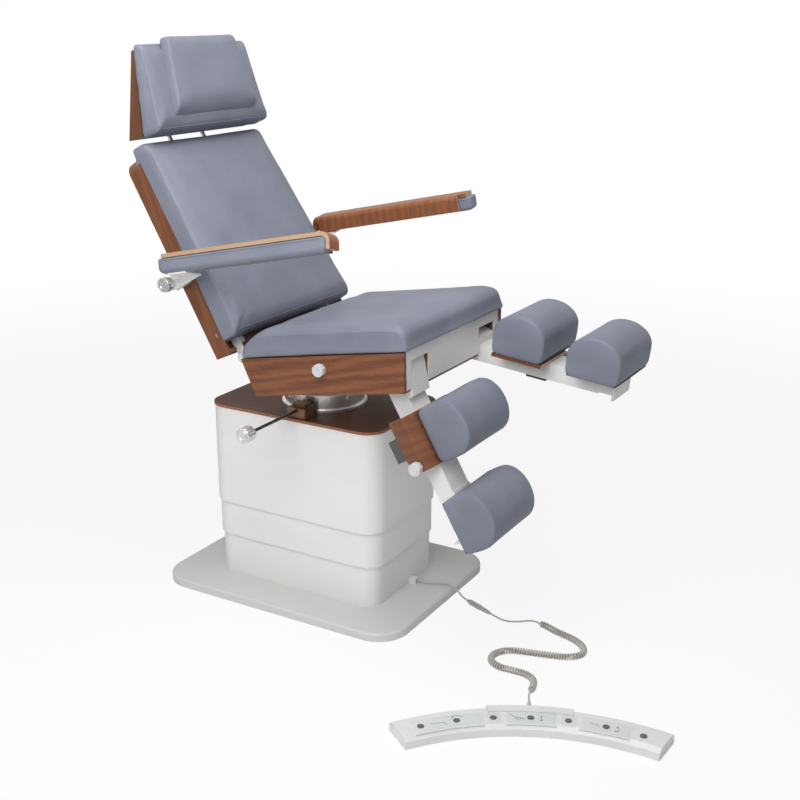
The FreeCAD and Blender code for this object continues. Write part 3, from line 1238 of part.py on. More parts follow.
# Cord: straight runs joined by tangent arcs
CORD_COLUMN_POINTS = (
    (28, -290.6, 34), (28, -318, 34), (36, -346, 33.5), (50, -374, 34), (54, -402, 35), (51, -427, 25),
    (44.4, -449.7, 8), (36, -470, 8),
)
CORD_FLOOR_POINTS = (
    (-2, -561.4, 8), (-10.3, -581.3, 8), (-13.5, -607, 3.2), (-7, -634, 2.7), (9, -658, 3), (18.5, -685, 9.7),
    (14.03, -709.01, 9.7),
)
COIL_POINTS = (
    (14, -709, 9.7), (8, -736, 9.7), (-8, -770, 9.7), (-17, -812, 9.7), (-34, -852, 9.7), (-62, -878, 9.7),
    (-94, -882, 9.7), (-122, -856, 9.7), (-137, -808, 9.7), (-150, -758, 9.7), (-164, -708, 9.7),
    (-187, -682, 9.7), (-217, -672, 9.7), (-246, -683, 9.7), (-263, -714, 9.7), (-258, -756, 9.7),
    (-258, -794, 9.7), (-274, -822, 9.7), (-303, -834, 9.7), (-330, -838, 9.7),
)
CORD_TAIL_POINTS = (
    (-329.99, -838.03, 9.7), (-345.8, -840.3, 9.7), (-365.4, -849.1, 12), (-383.36, -857.9, 12),
)


def cord_tube(points):
    """A round tube along straight runs whose corners are tangent arcs."""
    spots = [FreeCAD.Vector(*point) for point in points]
    width = s.cord_width.value
    edges = []
    radii = []
    start = spots[0]
    for before, corner, after in zip(spots, spots[1:], spots[2:]):
        way_in = (corner - before).normalize()
        way_out = (after - corner).normalize()
        turn = way_in.getAngle(way_out)
        cutback = 0.45 * min((corner - before).Length, (after - corner).Length)
        radii.append(cutback / math.tan(turn / 2))
        arc_start, arc_end = corner - way_in * cutback, corner + way_out * cutback
        bisector = (way_out - way_in).normalize()
        middle = corner + bisector * (radii[-1] / math.cos(turn / 2) - radii[-1])
        edges.append(Part.LineSegment(start, arc_start).toShape())
        edges.append(Part.Arc(arc_start, middle, arc_end).toShape())
        start = arc_end
    edges.append(Part.LineSegment(start, spots[-1]).toShape())
    path = Part.Wire(edges)
    first = (spots[1] - spots[0]).normalize()
    ring = Part.Wire(Part.Circle(spots[0], first, width / 2).toShape())
    tube = path.makePipeShell([ring], True, False)
    plain = math.pi * width ** 2 / 4 * path.Length
    print("cord length %.1f, least radius %.1f, radii %s, volume share %.5f" % (
        path.Length, min(radii), " ".join("%.0f" % radius for radius in radii), tube.Volume / plain))
    return tube


def coil_line():
    """The curled stretch's middle line, a quadratic curve led by its points."""
    curve = Part.BSplineCurve()
    curve.buildFromPoles([FreeCAD.Vector(*point) for point in COIL_POINTS], False, 2)
    return curve


def curl_point(curve, length, along, turns):
    """A point of the curls and its heading. The curls open from the middle line at both ends."""
    ramp = length / turns * 1.5
    end = min(along, length - along)
    share = min(1, max(0, end / ramp))
    radius = (s.curl_width.value - s.cord_width.value) / 2 * share * share * (3 - 2 * share)
    turn = 2 * math.pi * turns * along / length
    spot_at = curve.parameterAtDistance(along, curve.FirstParameter)
    centre = curve.value(spot_at)
    ahead = FreeCAD.Vector(*curve.tangent(spot_at)[0])
    side = FreeCAD.Vector(0, 0, 1).cross(ahead).normalize()
    up = FreeCAD.Vector(0, 0, 1)
    return centre + side * (radius * math.cos(turn)) + up * (radius * math.sin(turn))


def arc_between(start, heading, end):
    """The arc that leaves start along heading and reaches end."""
    chord = end - start
    way = FreeCAD.Vector(chord).normalize()
    side = heading - way * heading.dot(way)
    if side.Length < 1e-6:
        return Part.LineSegment(start, end).toShape()
    half_turn = math.atan2(side.Length, heading.dot(way))
    middle = (start + end) * 0.5 + side.normalize() * (chord.Length / 2 * math.tan(half_turn / 2))
    return Part.Arc(start, middle, end).toShape()


def biarc(start, start_way, end, end_way):
    """Two arcs that join smoothly between two points with headings."""
    gap = end - start
    ways = start_way + end_way
    bend = 1 - start_way.dot(end_way)
    ahead = gap.dot(ways)
    if bend < 1e-9:
        reach = gap.dot(gap) / (4 * gap.dot(end_way))
    else:
        reach = (-ahead + math.sqrt(ahead * ahead + 2 * bend * gap.dot(gap))) / (2 * bend)
    joint = (start + start_way * reach + end - end_way * reach) * 0.5
    return [arc_between(start, start_way, joint), arc_between(end, end_way * -1, joint)]


def coil_cord():
    curve = coil_line()
    length = curve.length()
    turns = s.curl_count.value
    width = s.cord_width.value
    straight = width
    trimmed = coil_line()
    trimmed.segment(curve.parameterAtDistance(straight, curve.FirstParameter),
                    curve.parameterAtDistance(length - straight, curve.FirstParameter))
    inner = trimmed.length()
    steps = int(turns) * 4
    step = inner / steps
    nudge = step * 0.001
    spots, ways = [], []
    for index in range(steps + 1):
        along = step * index
        low, high = max(0, along - nudge), min(inner, along + nudge)
        spots.append(curl_point(trimmed, inner, along, turns))
        way = curl_point(trimmed, inner, high, turns) - curl_point(trimmed, inner, low, turns)
        ways.append(way.normalize())
    edges = [Part.LineSegment(spots[0] - ways[0] * straight, spots[0]).toShape()]
    for index in range(steps):
        edges += biarc(spots[index], ways[index], spots[index + 1], ways[index + 1])
    edges.append(Part.LineSegment(spots[-1], spots[-1] + ways[-1] * straight).toShape())
    path = Part.Wire(edges)
    ring = Part.Wire(Part.Circle(spots[0] - ways[0] * straight, ways[0], width / 2).toShape())
    tube = path.makePipeShell([ring], True, False)
    print("curly cord: line %.1f, wire %.1f, volume share %.5f, least gap %.2f, ends %s %s" % (
        length, path.Length, tube.Volume / (math.pi * width ** 2 / 4 * path.Length),
        coil_gap(edges, width), tuple(round(c, 2) for c in (spots[0] - ways[0] * straight)),
        tuple(round(c, 2) for c in (spots[-1] + ways[-1] * straight))))
    finish(own_shape("coil_cord_form", tube), "coil_cord")


def coil_gap(edges, width):
    """The least gap between turns, measured on points of the middle line."""
    spots = []
    along = []
    run = 0
    for edge in edges:
        for share in (0, 0.25, 0.5, 0.75):
            reach = edge.LastParameter - edge.FirstParameter
            spots.append(edge.valueAt(edge.FirstParameter + reach * share))
            along.append(run + edge.Length * share)
        run += edge.Length
    apart = width * 3
    reach = 120
    least = width * 100
    for index, spot in enumerate(spots):
        for other in range(index + 1, min(index + reach, len(spots))):
            if along[other] - along[index] > apart:
                least = min(least, spot.distanceToPoint(spots[other]))
    return least - width


def column_clip():
    face = s.cover_long / 2 - s.cover_step * 2
    block = box("clip_block", s.clip_wide, s.clip_deep, s.clip_tall, (0, -s.clip_deep / 2, 0))
    mouth_at = (0, -s.clip_deep * 0.5, s.clip_tall / 2)
    mouth = rod("clip_mouth", s.cord_width * 0.8, s.clip_deep * 0.5, mouth_at, (0, -1, 0))
    finish(cut("clip", block, [mouth]), "cable_clip", (s.clip_x, -face - s.soft_gap, s.base_thick))


def inline_connector():
    start = FreeCAD.Vector(*CORD_COLUMN_POINTS[-1])
    end = FreeCAD.Vector(*CORD_FLOOR_POINTS[0])
    way = (end - start).normalize()
    long = (end - start).Length
    radius, step = s.connector_radius.value, s.connector_step.value
    body = Part.makeCylinder(radius, long * 0.5, start + way * (long * 0.1), way)
    tail = Part.makeCylinder(radius - step, long * 0.3, start + way * (long * 0.6), way)
    nose = Part.makeCone(radius - step * 2, radius, long * 0.1, start, way)
    heel = Part.makeCone(radius - step, radius - step * 2, long * 0.1, start + way * (long * 0.9), way)
    whole = body.fuse([tail, nose, heel]).removeSplitter()
    finish(own_shape("inline_connector_form", whole), "inline_connector")


def cords():
    column_clip()
    inline_connector()
    finish(own_shape("cord_column_form", cord_tube(CORD_COLUMN_POINTS)), "cord_column_lead")
    finish(own_shape("cord_floor_form", cord_tube(CORD_FLOOR_POINTS)), "cord_floor_lead")
    finish(own_shape("cord_tail_form", cord_tube(CORD_TAIL_POINTS)), "cord_tail_lead")
    coil_cord()


def build():
    base_plate()
    column_covers()
    column_tubes()
    column_top_plate()
    lift_drive()
    mains_inlet()
    turntable_flange()
    tilt_yoke()
    brake()
    seat_wood()
    seat_front_panel()
    seat_frame()
    seat_knob()
    seat_cushion()
    back_frame()
    back_shell()
    back_cushion()
    headrest_rods()
    headrest_shell()
    headrest_cushion()
    near_turns = (s.near_arm_pitch_angle, s.near_arm_roll_angle)
    far_turns = (s.far_arm_pitch_angle, s.far_arm_roll_angle)
    armrest("right", -1, near_turns, s.near_arm_front, s.near_arm_top, True)
    armrest("left", 1, far_turns, s.far_arm_front, s.far_arm_top, False)
    leg_rest("right", -1, s.near_leg_angle, s.near_slide, s.knee_x * 0, s.near_upper_shift)
    leg_rest("left", 1, s.far_leg_angle, s.far_slide, s.far_extension, s.far_upper_shift)
    foot_control()
    cord_socket()
    cords()


build()
doc.recompute()

# Every object is looked at before anything is written
for item in doc.Objects:
    if "Invalid" in item.State or "Error" in item.State:
        raise RuntimeError("%s failed: %s" % (item.Name, item.State))
for item in finished:
    if item.Shape.isNull() or not item.Shape.isValid() or not item.Shape.Solids:
        raise RuntimeError("%s has no valid solid" % item.Label)

os.makedirs("parts", exist_ok=True)
for item in finished:
    item.Shape.exportStep("parts/%s.step" % item.Label)
print("%d sub-parts written" % len(finished))
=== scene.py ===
import math

import bmesh
import bpy
import numpy
from mathutils import Matrix, Vector


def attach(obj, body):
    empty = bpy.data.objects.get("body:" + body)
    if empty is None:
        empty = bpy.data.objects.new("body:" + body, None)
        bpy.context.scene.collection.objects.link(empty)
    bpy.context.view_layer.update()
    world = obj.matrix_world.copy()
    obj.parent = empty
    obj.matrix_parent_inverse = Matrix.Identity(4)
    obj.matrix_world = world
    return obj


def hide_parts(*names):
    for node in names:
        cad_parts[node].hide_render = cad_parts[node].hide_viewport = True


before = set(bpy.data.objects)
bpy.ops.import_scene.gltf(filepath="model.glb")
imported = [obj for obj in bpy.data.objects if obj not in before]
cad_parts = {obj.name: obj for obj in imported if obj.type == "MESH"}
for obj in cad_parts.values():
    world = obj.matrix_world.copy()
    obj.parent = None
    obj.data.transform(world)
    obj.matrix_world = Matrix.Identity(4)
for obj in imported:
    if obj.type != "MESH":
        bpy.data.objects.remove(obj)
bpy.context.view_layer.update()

bl_info = {
    "name": "Podiatry chair",
    "version": (1, 0, 0),
    "blender": (4, 5, 0),
    "location": "View3D > Sidebar > Podiatry chair",
    "description": "Upholstery, wood, metal and cord of a podiatry chair on its packed frame",
    "category": "Object",
}

MM = 0.001
TINY = 1e-9
FINE_VOXEL = 3.2 * MM
CLOTH_FRAMES = 20
SIDES = (("right", -1), ("left", 1))


# Sizes and colours that a user would change
def length(label, text, size):
    return bpy.props.FloatProperty(name=label, description=text, default=size, min=0, unit="LENGTH",
                                   precision=4)


def colour(label, text, shade):
    return bpy.props.FloatVectorProperty(name=label, description=text, default=shade, size=3, subtype="COLOR",
                                         min=0, max=1)


class ChairColours(bpy.types.PropertyGroup):
    leatherette: colour("Leatherette", "Upholstery", (0.211, 0.225, 0.280))
    walnut_dark: colour("Walnut, dark", "Dark grain of the wood", (0.105, 0.033, 0.013))
    walnut_light: colour("Walnut, light", "Light grain of the wood", (0.285, 0.108, 0.046))
    ply_edge: colour("Plywood edge", "Cut edges of the bent strips", (0.520, 0.340, 0.210))
    powder_coat: colour("Powder coat", "Column, base and arms of the frame", (0.825, 0.822, 0.808))
    steel: colour("Steel", "Turntable", (0.950, 0.940, 0.920))
    bronze: colour("Bronze", "Swivel brake's clamp", (0.270, 0.150, 0.095))
    control: colour("Foot control", "Shell of the foot control", (0.740, 0.745, 0.740))
    button: colour("Button", "Foot control's buttons and marks", (0.110, 0.115, 0.125))
    cord: colour("Cord", "Plain and curly cord", (0.480, 0.455, 0.410))


class ChairSizes(bpy.types.PropertyGroup):
    cord_width: length("Cord width", "Diameter of the cord", 5 * MM)
    curl_width: length("Curl width", "Outside diameter of the curls", 19 * MM)
    curls: bpy.props.IntProperty(name="Curls", description="Turns of the curly cord", default=98, min=10,
                                 max=100)
    seam_width: length("Seam width", "Diameter of the sewn seams", 2.6 * MM)
    voxel: length("Cloth grid", "Grid of the cushions' cloth", 7 * MM)
    fill: bpy.props.FloatProperty(name="Fill", description="How tightly the cushions are filled", default=0.8,
                                  min=0, max=1, subtype="FACTOR")
    swell: length("Swell", "How far a cushion swells", 6 * MM)


class StageLook(bpy.types.PropertyGroup):
    floor: colour("Floor", "Plain pale floor", (0.900, 0.900, 0.900))
    lens: bpy.props.FloatProperty(name="Lens", description="Camera lens in millimetres", default=54.87,
                                  min=10, max=200)


def sizes():
    return bpy.context.scene.chair_sizes


def shade_of(shade):
    """A colour, which may be given by its name among the user's colours."""
    return tuple(getattr(bpy.context.scene.chair_colours, shade)) if isinstance(shade, str) else shade


def dimmed(shade, share):
    return tuple(value * share for value in shade)


# Frames of the moving parts at rest
def spin(axis, degrees):
    return Matrix.Rotation(math.radians(degrees), 4, Vector(axis))


def shift(x, y, z):
    return Matrix.Translation(Vector((x, y, z)))


BACKWARD = (-1, 0, 0)
# a cushion is modelled lying on its back: X across, Y up, Z out of its face
LYING = Matrix(((1, 0, 0, 0), (0, 0, -1, 0), (0, 1, 0, 0), (0, 0, 0, 1)))
SEAT = shift(0, 0, 0.700) @ spin(BACKWARD, 10)
BACK = SEAT @ shift(0, 0.102, 0.054) @ spin(BACKWARD, 22.6)
HEAD = BACK @ shift(0, -0.1592, 0.7826) @ spin(BACKWARD, -15.1)
LEG_ANGLES = {"right": 60, "left": 6}
# each calf pad's place on its leg: along the bar, above it and across it
PAD_SPOTS = {
    "right_upper": (0.170, 0.0355, 0.0695), "right_lower": (0.408, 0.0288, 0.0015),
    "left_upper": (0.205, 0.0355, 0.0045), "left_lower": (0.428, 0.0288, 0.0015),
}


def leg_frame(side, sign):
    knee = SEAT @ Vector((0.195 * sign, -0.372, -0.025))
    return Matrix.Translation(knee) @ spin((1, 0, 0), LEG_ANGLES[side])


ARM_FRONT = {"right": 0.5893, "left": 0.6035}
ARM_TOP = {"right": 0.078, "left": 0.084}
ARM_PITCH = {"right": 12, "left": 12.3}
ARM_ROLL = {"right": 18, "left": 8}
ARM_LONG, ARM_HALF = 0.560, 0.027


def arm_pivot():
    return BACK @ Vector((0, 0.039, 0.272))


def arm_frame(side, sign):
    """Origin at the strip's rear end, on its top face, +Z out of it."""
    pivot = arm_pivot()
    tilt = spin(BACKWARD, ARM_PITCH[side])
    end = tilt @ Vector((0, ARM_LONG - ARM_FRONT[side], ARM_TOP[side]))
    return shift(0.345 * sign, pivot.y + end.y, pivot.z + end.z) @ tilt @ spin((0, -sign, 0), ARM_ROLL[side])


# Shader sums and nodes
class Signal:
    """A shader value that takes part in sums."""

    def __init__(self, finish, socket):
        self.finish = finish
        self.socket = socket

    def sum(self, operation, other, swapped=False):
        first, second = (other, self) if swapped else (self, other)
        made = self.finish.node("ShaderNodeMath", {"operation": operation}, {0: first, 1: second})
        return Signal(self.finish, made.outputs[0])

    def __add__(self, other):
        return self.sum("ADD", other)

    def __radd__(self, other):
        return self.sum("ADD", other, True)

    def __sub__(self, other):
        return self.sum("SUBTRACT", other)

    def __rsub__(self, other):
        return self.sum("SUBTRACT", other, True)

    def __mul__(self, other):
        return self.sum("MULTIPLY", other)

    def __rmul__(self, other):
        return self.sum("MULTIPLY", other, True)

    def __truediv__(self, other):
        return self.sum("DIVIDE", other)

    def alone(self, operation):
        made = self.finish.node("ShaderNodeMath", {"operation": operation}, {0: self})
        return Signal(self.finish, made.outputs[0])

    def above(self, edge, soft):
        """0 below the edge and 1 above it, with a soft step."""
        made = self.finish.node("ShaderNodeMapRange", {"interpolation_type": "SMOOTHSTEP"},
                                {"Value": self, "From Min": edge - soft, "From Max": edge + soft})
        return Signal(self.finish, made.outputs[0])


class Tree:
    """The nodes of a material or a world."""

    def __init__(self, owner):
        owner.use_nodes = True
        self.tree = owner.node_tree
        self.tree.nodes.clear()

    def node(self, kind, settings=None, inputs=None):
        """Any node: its settings first, then the values or links of its sockets."""
        made = self.tree.nodes.new(kind)
        for name, value in (settings or {}).items():
            setattr(made, name, value)
        for name, value in (inputs or {}).items():
            self.feed(made.inputs[name], value)
        return made

    def feed(self, socket, value):
        if isinstance(value, Signal):
            value = value.socket
        if isinstance(value, bpy.types.NodeSocket):
            self.tree.links.new(value, socket)
        elif hasattr(value, "__len__") and socket.type == "RGBA":
            socket.default_value = (*value, 1)[:4]
        else:
            socket.default_value = value


class Finish(Tree):
    """A material under construction."""

    def __init__(self, name):
        self.material = bpy.data.materials.new(name)
        super().__init__(self.material)
        self.shader = self.node("ShaderNodeBsdfPrincipled")
        self.output = self.node("ShaderNodeOutputMaterial", {}, {"Surface": self.shader.outputs[0]})

    def set(self, **values):
        for name, value in values.items():
            self.feed(self.shader.inputs[name.replace("_", " ").title().replace("Ior", "IOR")], value)

    def coordinates(self, place=None, stretch=(1, 1, 1)):
        """Object coordinates seen from a piece's own frame."""
        source = self.node("ShaderNodeTexCoord").outputs["Object"]
        place = place or Matrix.Identity(4)
        return self.node("ShaderNodeMapping", {"vector_type": "TEXTURE"}, {
            "Vector": source, "Location": place.to_translation(), "Rotation": place.to_euler(),
            "Scale": stretch}).outputs[0]

    def noise(self, where, scale, detail=3, roughness=0.5, distortion=0):
        made = self.node("ShaderNodeTexNoise", {}, {"Vector": where, "Scale": scale, "Detail": detail,
                                                    "Roughness": roughness, "Distortion": distortion})
        return Signal(self, made.outputs[0])

    def cells(self, where, scale):
        made = self.node("ShaderNodeTexVoronoi", {}, {"Vector": where, "Scale": scale})
        return Signal(self, made.outputs["Distance"])

    def axis(self, where, index):
        return Signal(self, self.node("ShaderNodeSeparateXYZ", {}, {0: where}).outputs[index])

    def reach(self, vector):
        """A vector's length."""
        made = self.node("ShaderNodeVectorMath", {"operation": "LENGTH"}, {0: vector})
        return Signal(self, made.outputs["Value"])

    def blend(self, amount, first, second):
        made = self.node("ShaderNodeMix", {"data_type": "RGBA"}, {0: amount, 6: first, 7: second})
        return made.outputs[2]

    def toward(self, direction):
        """How squarely the surface faces a direction: 1 to -1."""
        normal = self.node("ShaderNodeTexCoord").outputs["Normal"]
        dot = self.node("ShaderNodeVectorMath", {"operation": "DOT_PRODUCT"}, {0: normal, 1: direction})
        return Signal(self, dot.outputs["Value"])

    def facing(self, direction):
        """How squarely the surface faces a direction, either way."""
        return self.toward(direction).alone("ABSOLUTE")

    def bump(self, height, depth, strength=1.0):
        normal = self.node("ShaderNodeBump", {}, {"Height": height, "Distance": depth, "Strength": strength})
        self.feed(self.shader.inputs["Normal"], normal.outputs[0])


def leatherette(name, place=None):
    """Satin leatherette: a fine pebble grain and soft creases."""
    finish = Finish(name)
    where = finish.coordinates(place)
    warp = finish.noise(where, 300, 2)
    pebble = finish.cells(where, 780)
    fine = finish.noise(where, 1500, 2)
    cloud = finish.noise(where, 7, 3)
    base = shade_of("leatherette")
    light = tuple(min(1, share * 1.09) for share in base)
    tone = finish.blend(cloud.above(0.5, 0.22), dimmed(base, 0.90), light)
    # painted shade: the valleys between the pebbles of the grain are darkened towards 0.72 of the colour, by
    # a share of up to 0.35
    creases = (1 - pebble).above(0.28, 0.25)
    finish.set(base_color=finish.blend((1 - creases) * 0.35, tone, dimmed(base, 0.72)),
               roughness=0.40 + 0.12 * cloud + 0.06 * warp, specular_ior_level=0.26)
    finish.bump(0.7 * (1 - pebble) + 0.2 * fine + 0.35 * warp, 0.00035, 0.55)
    return finish.material


def walnut(name, place, stretch, cut=None, tone_and_light=1.0, figure=1.0, ply=(0.0016, 2), gloss=0.2, block=None,
           sawn="ply_edge"):
    """Lacquered walnut veneer, stretched along its grain. Where cut() gives 1, the sawn plies show.

    Ply is a layer's thickness and the axis that crosses the layers. Where block() gives 1, grey metal shows.
    Each piece's scale of both walnut colours is partly its own tone and partly painted light and shade.
    """
    finish = Finish(name)
    where = finish.coordinates(place, stretch)
    bands = finish.noise(where, 34, 6, 0.6, 0.5)
    rings = finish.node("ShaderNodeTexWave", {"wave_type": "BANDS", "bands_direction": "DIAGONAL"}, {
        "Vector": where, "Scale": 22, "Distortion": 6, "Detail": 4, "Detail Scale": 1.6})
    wave = Signal(finish, rings.outputs[1])
    fine = finish.noise(where, 190, 3, 0.6)
    pores = finish.noise(where, 620, 2, 0.7)
    # painted light and shade: both walnut colours are scaled per piece, darker for a piece in shade and
    # lighter for a lit one, partly also its own tone
    dark, light = (dimmed(shade_of(name), tone_and_light) for name in ("walnut_dark", "walnut_light"))
    grain = (0.45 * bands + 0.25 * wave + 0.30 * fine).above(0.5, 0.30)
    streaks = pores.above(0.60, 0.06)
    wood = finish.blend(0.62 + (grain - 0.62) * (0.85 * figure), dark, light)
    wood = finish.blend(streaks * (0.40 * figure), wood, dimmed(dark, 0.7))
    if cut is not None:
        thick, across = ply
        stripe = (finish.axis(finish.coordinates(place), across) / thick).alone("FRACT")
        pale = shade_of(sawn)
        plies = finish.blend(stripe.above(0.5, 0.12) * 0.40, pale, dimmed(pale, 0.55))
        wood = finish.blend(cut(finish), wood, plies)
    if block is not None:
        wood = finish.blend(block(finish), wood, (0.085, 0.085, 0.085))
    finish.set(base_color=wood, roughness=0.36 + 0.12 * grain, specular_ior_level=0.15 + gloss,
               coat_weight=gloss * 0.5, coat_roughness=0.25)
    finish.bump(0.5 * grain + 0.5 * (1 - streaks), 0.00012, 0.4)
    return finish.material


def powder_coat(name, shade, roughness=0.38, dusty=True):
    """Powder coat with a faint orange peel and a little dust low down."""
    finish = Finish(name)
    where = finish.coordinates()
    peel = finish.noise(where, 520, 2)
    cloud = finish.noise(where, 5, 3)
    base = shade_of(shade)
    tone = finish.blend(cloud.above(0.5, 0.3), dimmed(base, 0.965), base)
    if dusty:
        low = 1 - finish.axis(where, 2).above(0.05, 0.06)
        tone = finish.blend(low * 0.16 * cloud, tone, (0.40, 0.38, 0.34))
    finish.set(base_color=tone, roughness=roughness + 0.10 * cloud)
    finish.bump(peel, 0.0002, 0.22)
    return finish.material


def turned_steel(name, shade, place=None, roughness=0.26, rings=900, metal=1.0):
    """Turned or brushed metal: fine rings about the piece's own Z."""
    finish = Finish(name)
    where = finish.coordinates(place)
    flat = finish.node("ShaderNodeVectorMath", {"operation": "MULTIPLY"}, {0: where, 1: (1, 1, 0)})
    ring, height = finish.reach(flat.outputs[0]), finish.axis(where, 2)
    comb = finish.node("ShaderNodeCombineXYZ", {}, {0: ring * rings, 1: height * rings * 0.6})
    turned = finish.noise(comb.outputs[0], 1.0, 3, 0.6)
    smear = finish.noise(where, 22, 4)
    base = shade_of(shade)
    finish.set(base_color=finish.blend(smear.above(0.52, 0.2) * 0.6, base, dimmed(base, 0.72)),
               roughness=roughness + 0.16 * turned + 0.10 * smear, metallic=metal)
    finish.bump(turned, 0.00012, 0.35)
    return finish.material


def moulded(name, shade, roughness=0.45, grain=900, depth=0.00015):
    """Moulded plastic or rubber with a fine spark-eroded grain."""
    finish = Finish(name)
    where = finish.coordinates()
    cloud = finish.noise(where, 12, 3)
    base = shade_of(shade)
    finish.set(base_color=finish.blend(cloud.above(0.5, 0.3), dimmed(base, 0.93), base),
               roughness=roughness + 0.1 * cloud)
    finish.bump(finish.cells(where, grain), depth, 0.4)
    return finish.material


# Modelling, as by hand
def clear_selection():
    if bpy.context.object and bpy.context.object.mode != "OBJECT":
        bpy.ops.object.mode_set(mode="OBJECT")
    bpy.ops.object.select_all(action="DESELECT")


def activate(piece):
    clear_selection()
    piece.select_set(True)
    bpy.context.view_layer.objects.active = piece


def start(kind, name, **settings):
    """A primitive, added at its size and place, and made the active piece."""
    clear_selection()
    getattr(bpy.ops.mesh, "primitive_%s_add" % kind)(**settings)
    piece = bpy.context.object
    piece.name = piece.data.name = name
    bpy.ops.object.transform_apply(location=True, rotation=True, scale=True)
    return piece


def pick(piece, kind, test):
    """In edit mode, selects the faces or edges that pass a test."""
    bpy.ops.object.mode_set(mode="EDIT")
    bpy.ops.mesh.select_mode(type=kind)
    bpy.ops.mesh.select_all(action="DESELECT")
    mesh = bmesh.from_edit_mesh(piece.data)
    for item in mesh.faces if kind == "FACE" else mesh.edges:
        item.select_set(test(item))
    bmesh.update_edit_mesh(piece.data)


def pick_top(piece):
    """Selects the flat end that a piece turns to +Z."""
    pick(piece, "FACE", lambda face: face.normal.z > 0.9)


def pick_edges(piece, test):
    """Selects the edges that pass a test of their two ends."""
    pick(piece, "EDGE", lambda edge: test(edge.verts[0].co, edge.verts[1].co))


def face_outward():
    """Turns all faces of the mesh in edit mode outward and leaves edit mode."""
    bpy.ops.mesh.select_all(action="SELECT")
    bpy.ops.mesh.normals_make_consistent(inside=False)
    bpy.ops.object.mode_set(mode="OBJECT")


def round_rim(piece, above, beyond, width):
    """Rounds a turned piece's top rim: its edges above a height and beyond a radius."""
    pick_edges(piece, lambda a, b: min(a.z, b.z) > above and min(a.xy.length, b.xy.length) > beyond)
    bpy.ops.mesh.bevel(offset=width, segments=2)
    face_outward()


def use_modifier(piece, kind, **settings):
    """Adds a modifier and applies it."""
    activate(piece)
    modifier = piece.modifiers.new(kind.title(), kind)
    for name, value in settings.items():
        setattr(modifier, name, value)
    bpy.ops.object.modifier_apply(modifier=modifier.name)


def fit(piece, place, look, body, smooth=40):
    """Moves a piece from its own frame into the chair, with its place in its mesh, and finishes it."""
    activate(piece)
    piece.matrix_world = place @ piece.matrix_world
    bpy.ops.object.transform_apply(location=True, rotation=True, scale=True)
    piece.data.materials.clear()
    piece.data.materials.append(look)
    if smooth:
        bpy.ops.object.shade_smooth_by_angle(angle=math.radians(smooth))
    else:
        bpy.ops.object.shade_smooth()
    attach(piece, body)


def add_object(name, data):
    """A new object in the scene for a mesh, curve, lamp or camera."""
    made = bpy.data.objects.new(name, data)
    bpy.context.scene.collection.objects.link(made)
    return made


def copies(model, names):
    """The model under the first name, then copies of it, each with its own mesh."""
    pieces = [model]
    for name in names[1:]:
        data = model.data.copy()
        data.name = name
        pieces.append(add_object(name, data))
    return pieces


def paint(node, material):
    """A better material on a CAD node whose shape is right."""
    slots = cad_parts[node].data.materials
    slots.clear()
    slots.append(material)


def join(pieces, name):
    clear_selection()
    for piece in pieces:
        piece.select_set(True)
    bpy.context.view_layer.objects.active = pieces[0]
    bpy.ops.object.join()
    piece = bpy.context.object
    piece.name = piece.data.name = name
    return piece


def spots_of(mesh):
    """The places of all vertices, one row each."""
    points = numpy.empty(len(mesh.vertices) * 3)
    mesh.vertices.foreach_get("co", points)
    return points.reshape(-1, 3)


def reshape(piece, change):
    """Moves every vertex by a function on the array of all of them."""
    points = change(spots_of(piece.data))
    piece.data.vertices.foreach_set("co", points.ravel())
    piece.data.update()


def fine_cube(name, cuts):
    """A cube from -1 to 1 with finely divided faces."""
    piece = start("cube", name, size=2)
    bpy.ops.object.mode_set(mode="EDIT")
    bpy.ops.mesh.select_all(action="SELECT")
    bpy.ops.mesh.subdivide(number_cuts=cuts)
    bpy.ops.object.mode_set(mode="OBJECT")
    return piece


def remesh(piece, voxel):
    activate(piece)
    piece.data.remesh_voxel_size = voxel
    bpy.ops.object.voxel_remesh()


# Cushions
def soft_block(name, low, high, round_low, round_high, cuts):
    """A rounded block from low to high corner, its rounding easing from the base's to the top's."""
    low, high, round_low, round_high = (numpy.array(corner, float)
                                        for corner in (low, high, round_low, round_high))
    half, middle = (high - low) / 2, (high + low) / 2

    def round_off(points):
        share = (points[:, 2:] + 1) / 2
        share = share * share * (3 - 2 * share)
        radius = numpy.minimum(round_low + (round_high - round_low) * share, half * 0.999)
        spots = numpy.sign(points) * (1 - (1 - numpy.abs(points)) ** 1.25) * half
        inner = numpy.clip(spots, radius - half, half - radius)
        over = (spots - inner) / radius
        size = numpy.linalg.norm(over, axis=1, keepdims=True)
        over = numpy.where(size > TINY, over / numpy.maximum(size, TINY), 0)
        return inner + over * radius + middle

    piece = fine_cube(name, cuts)
    reshape(piece, round_off)
    return piece


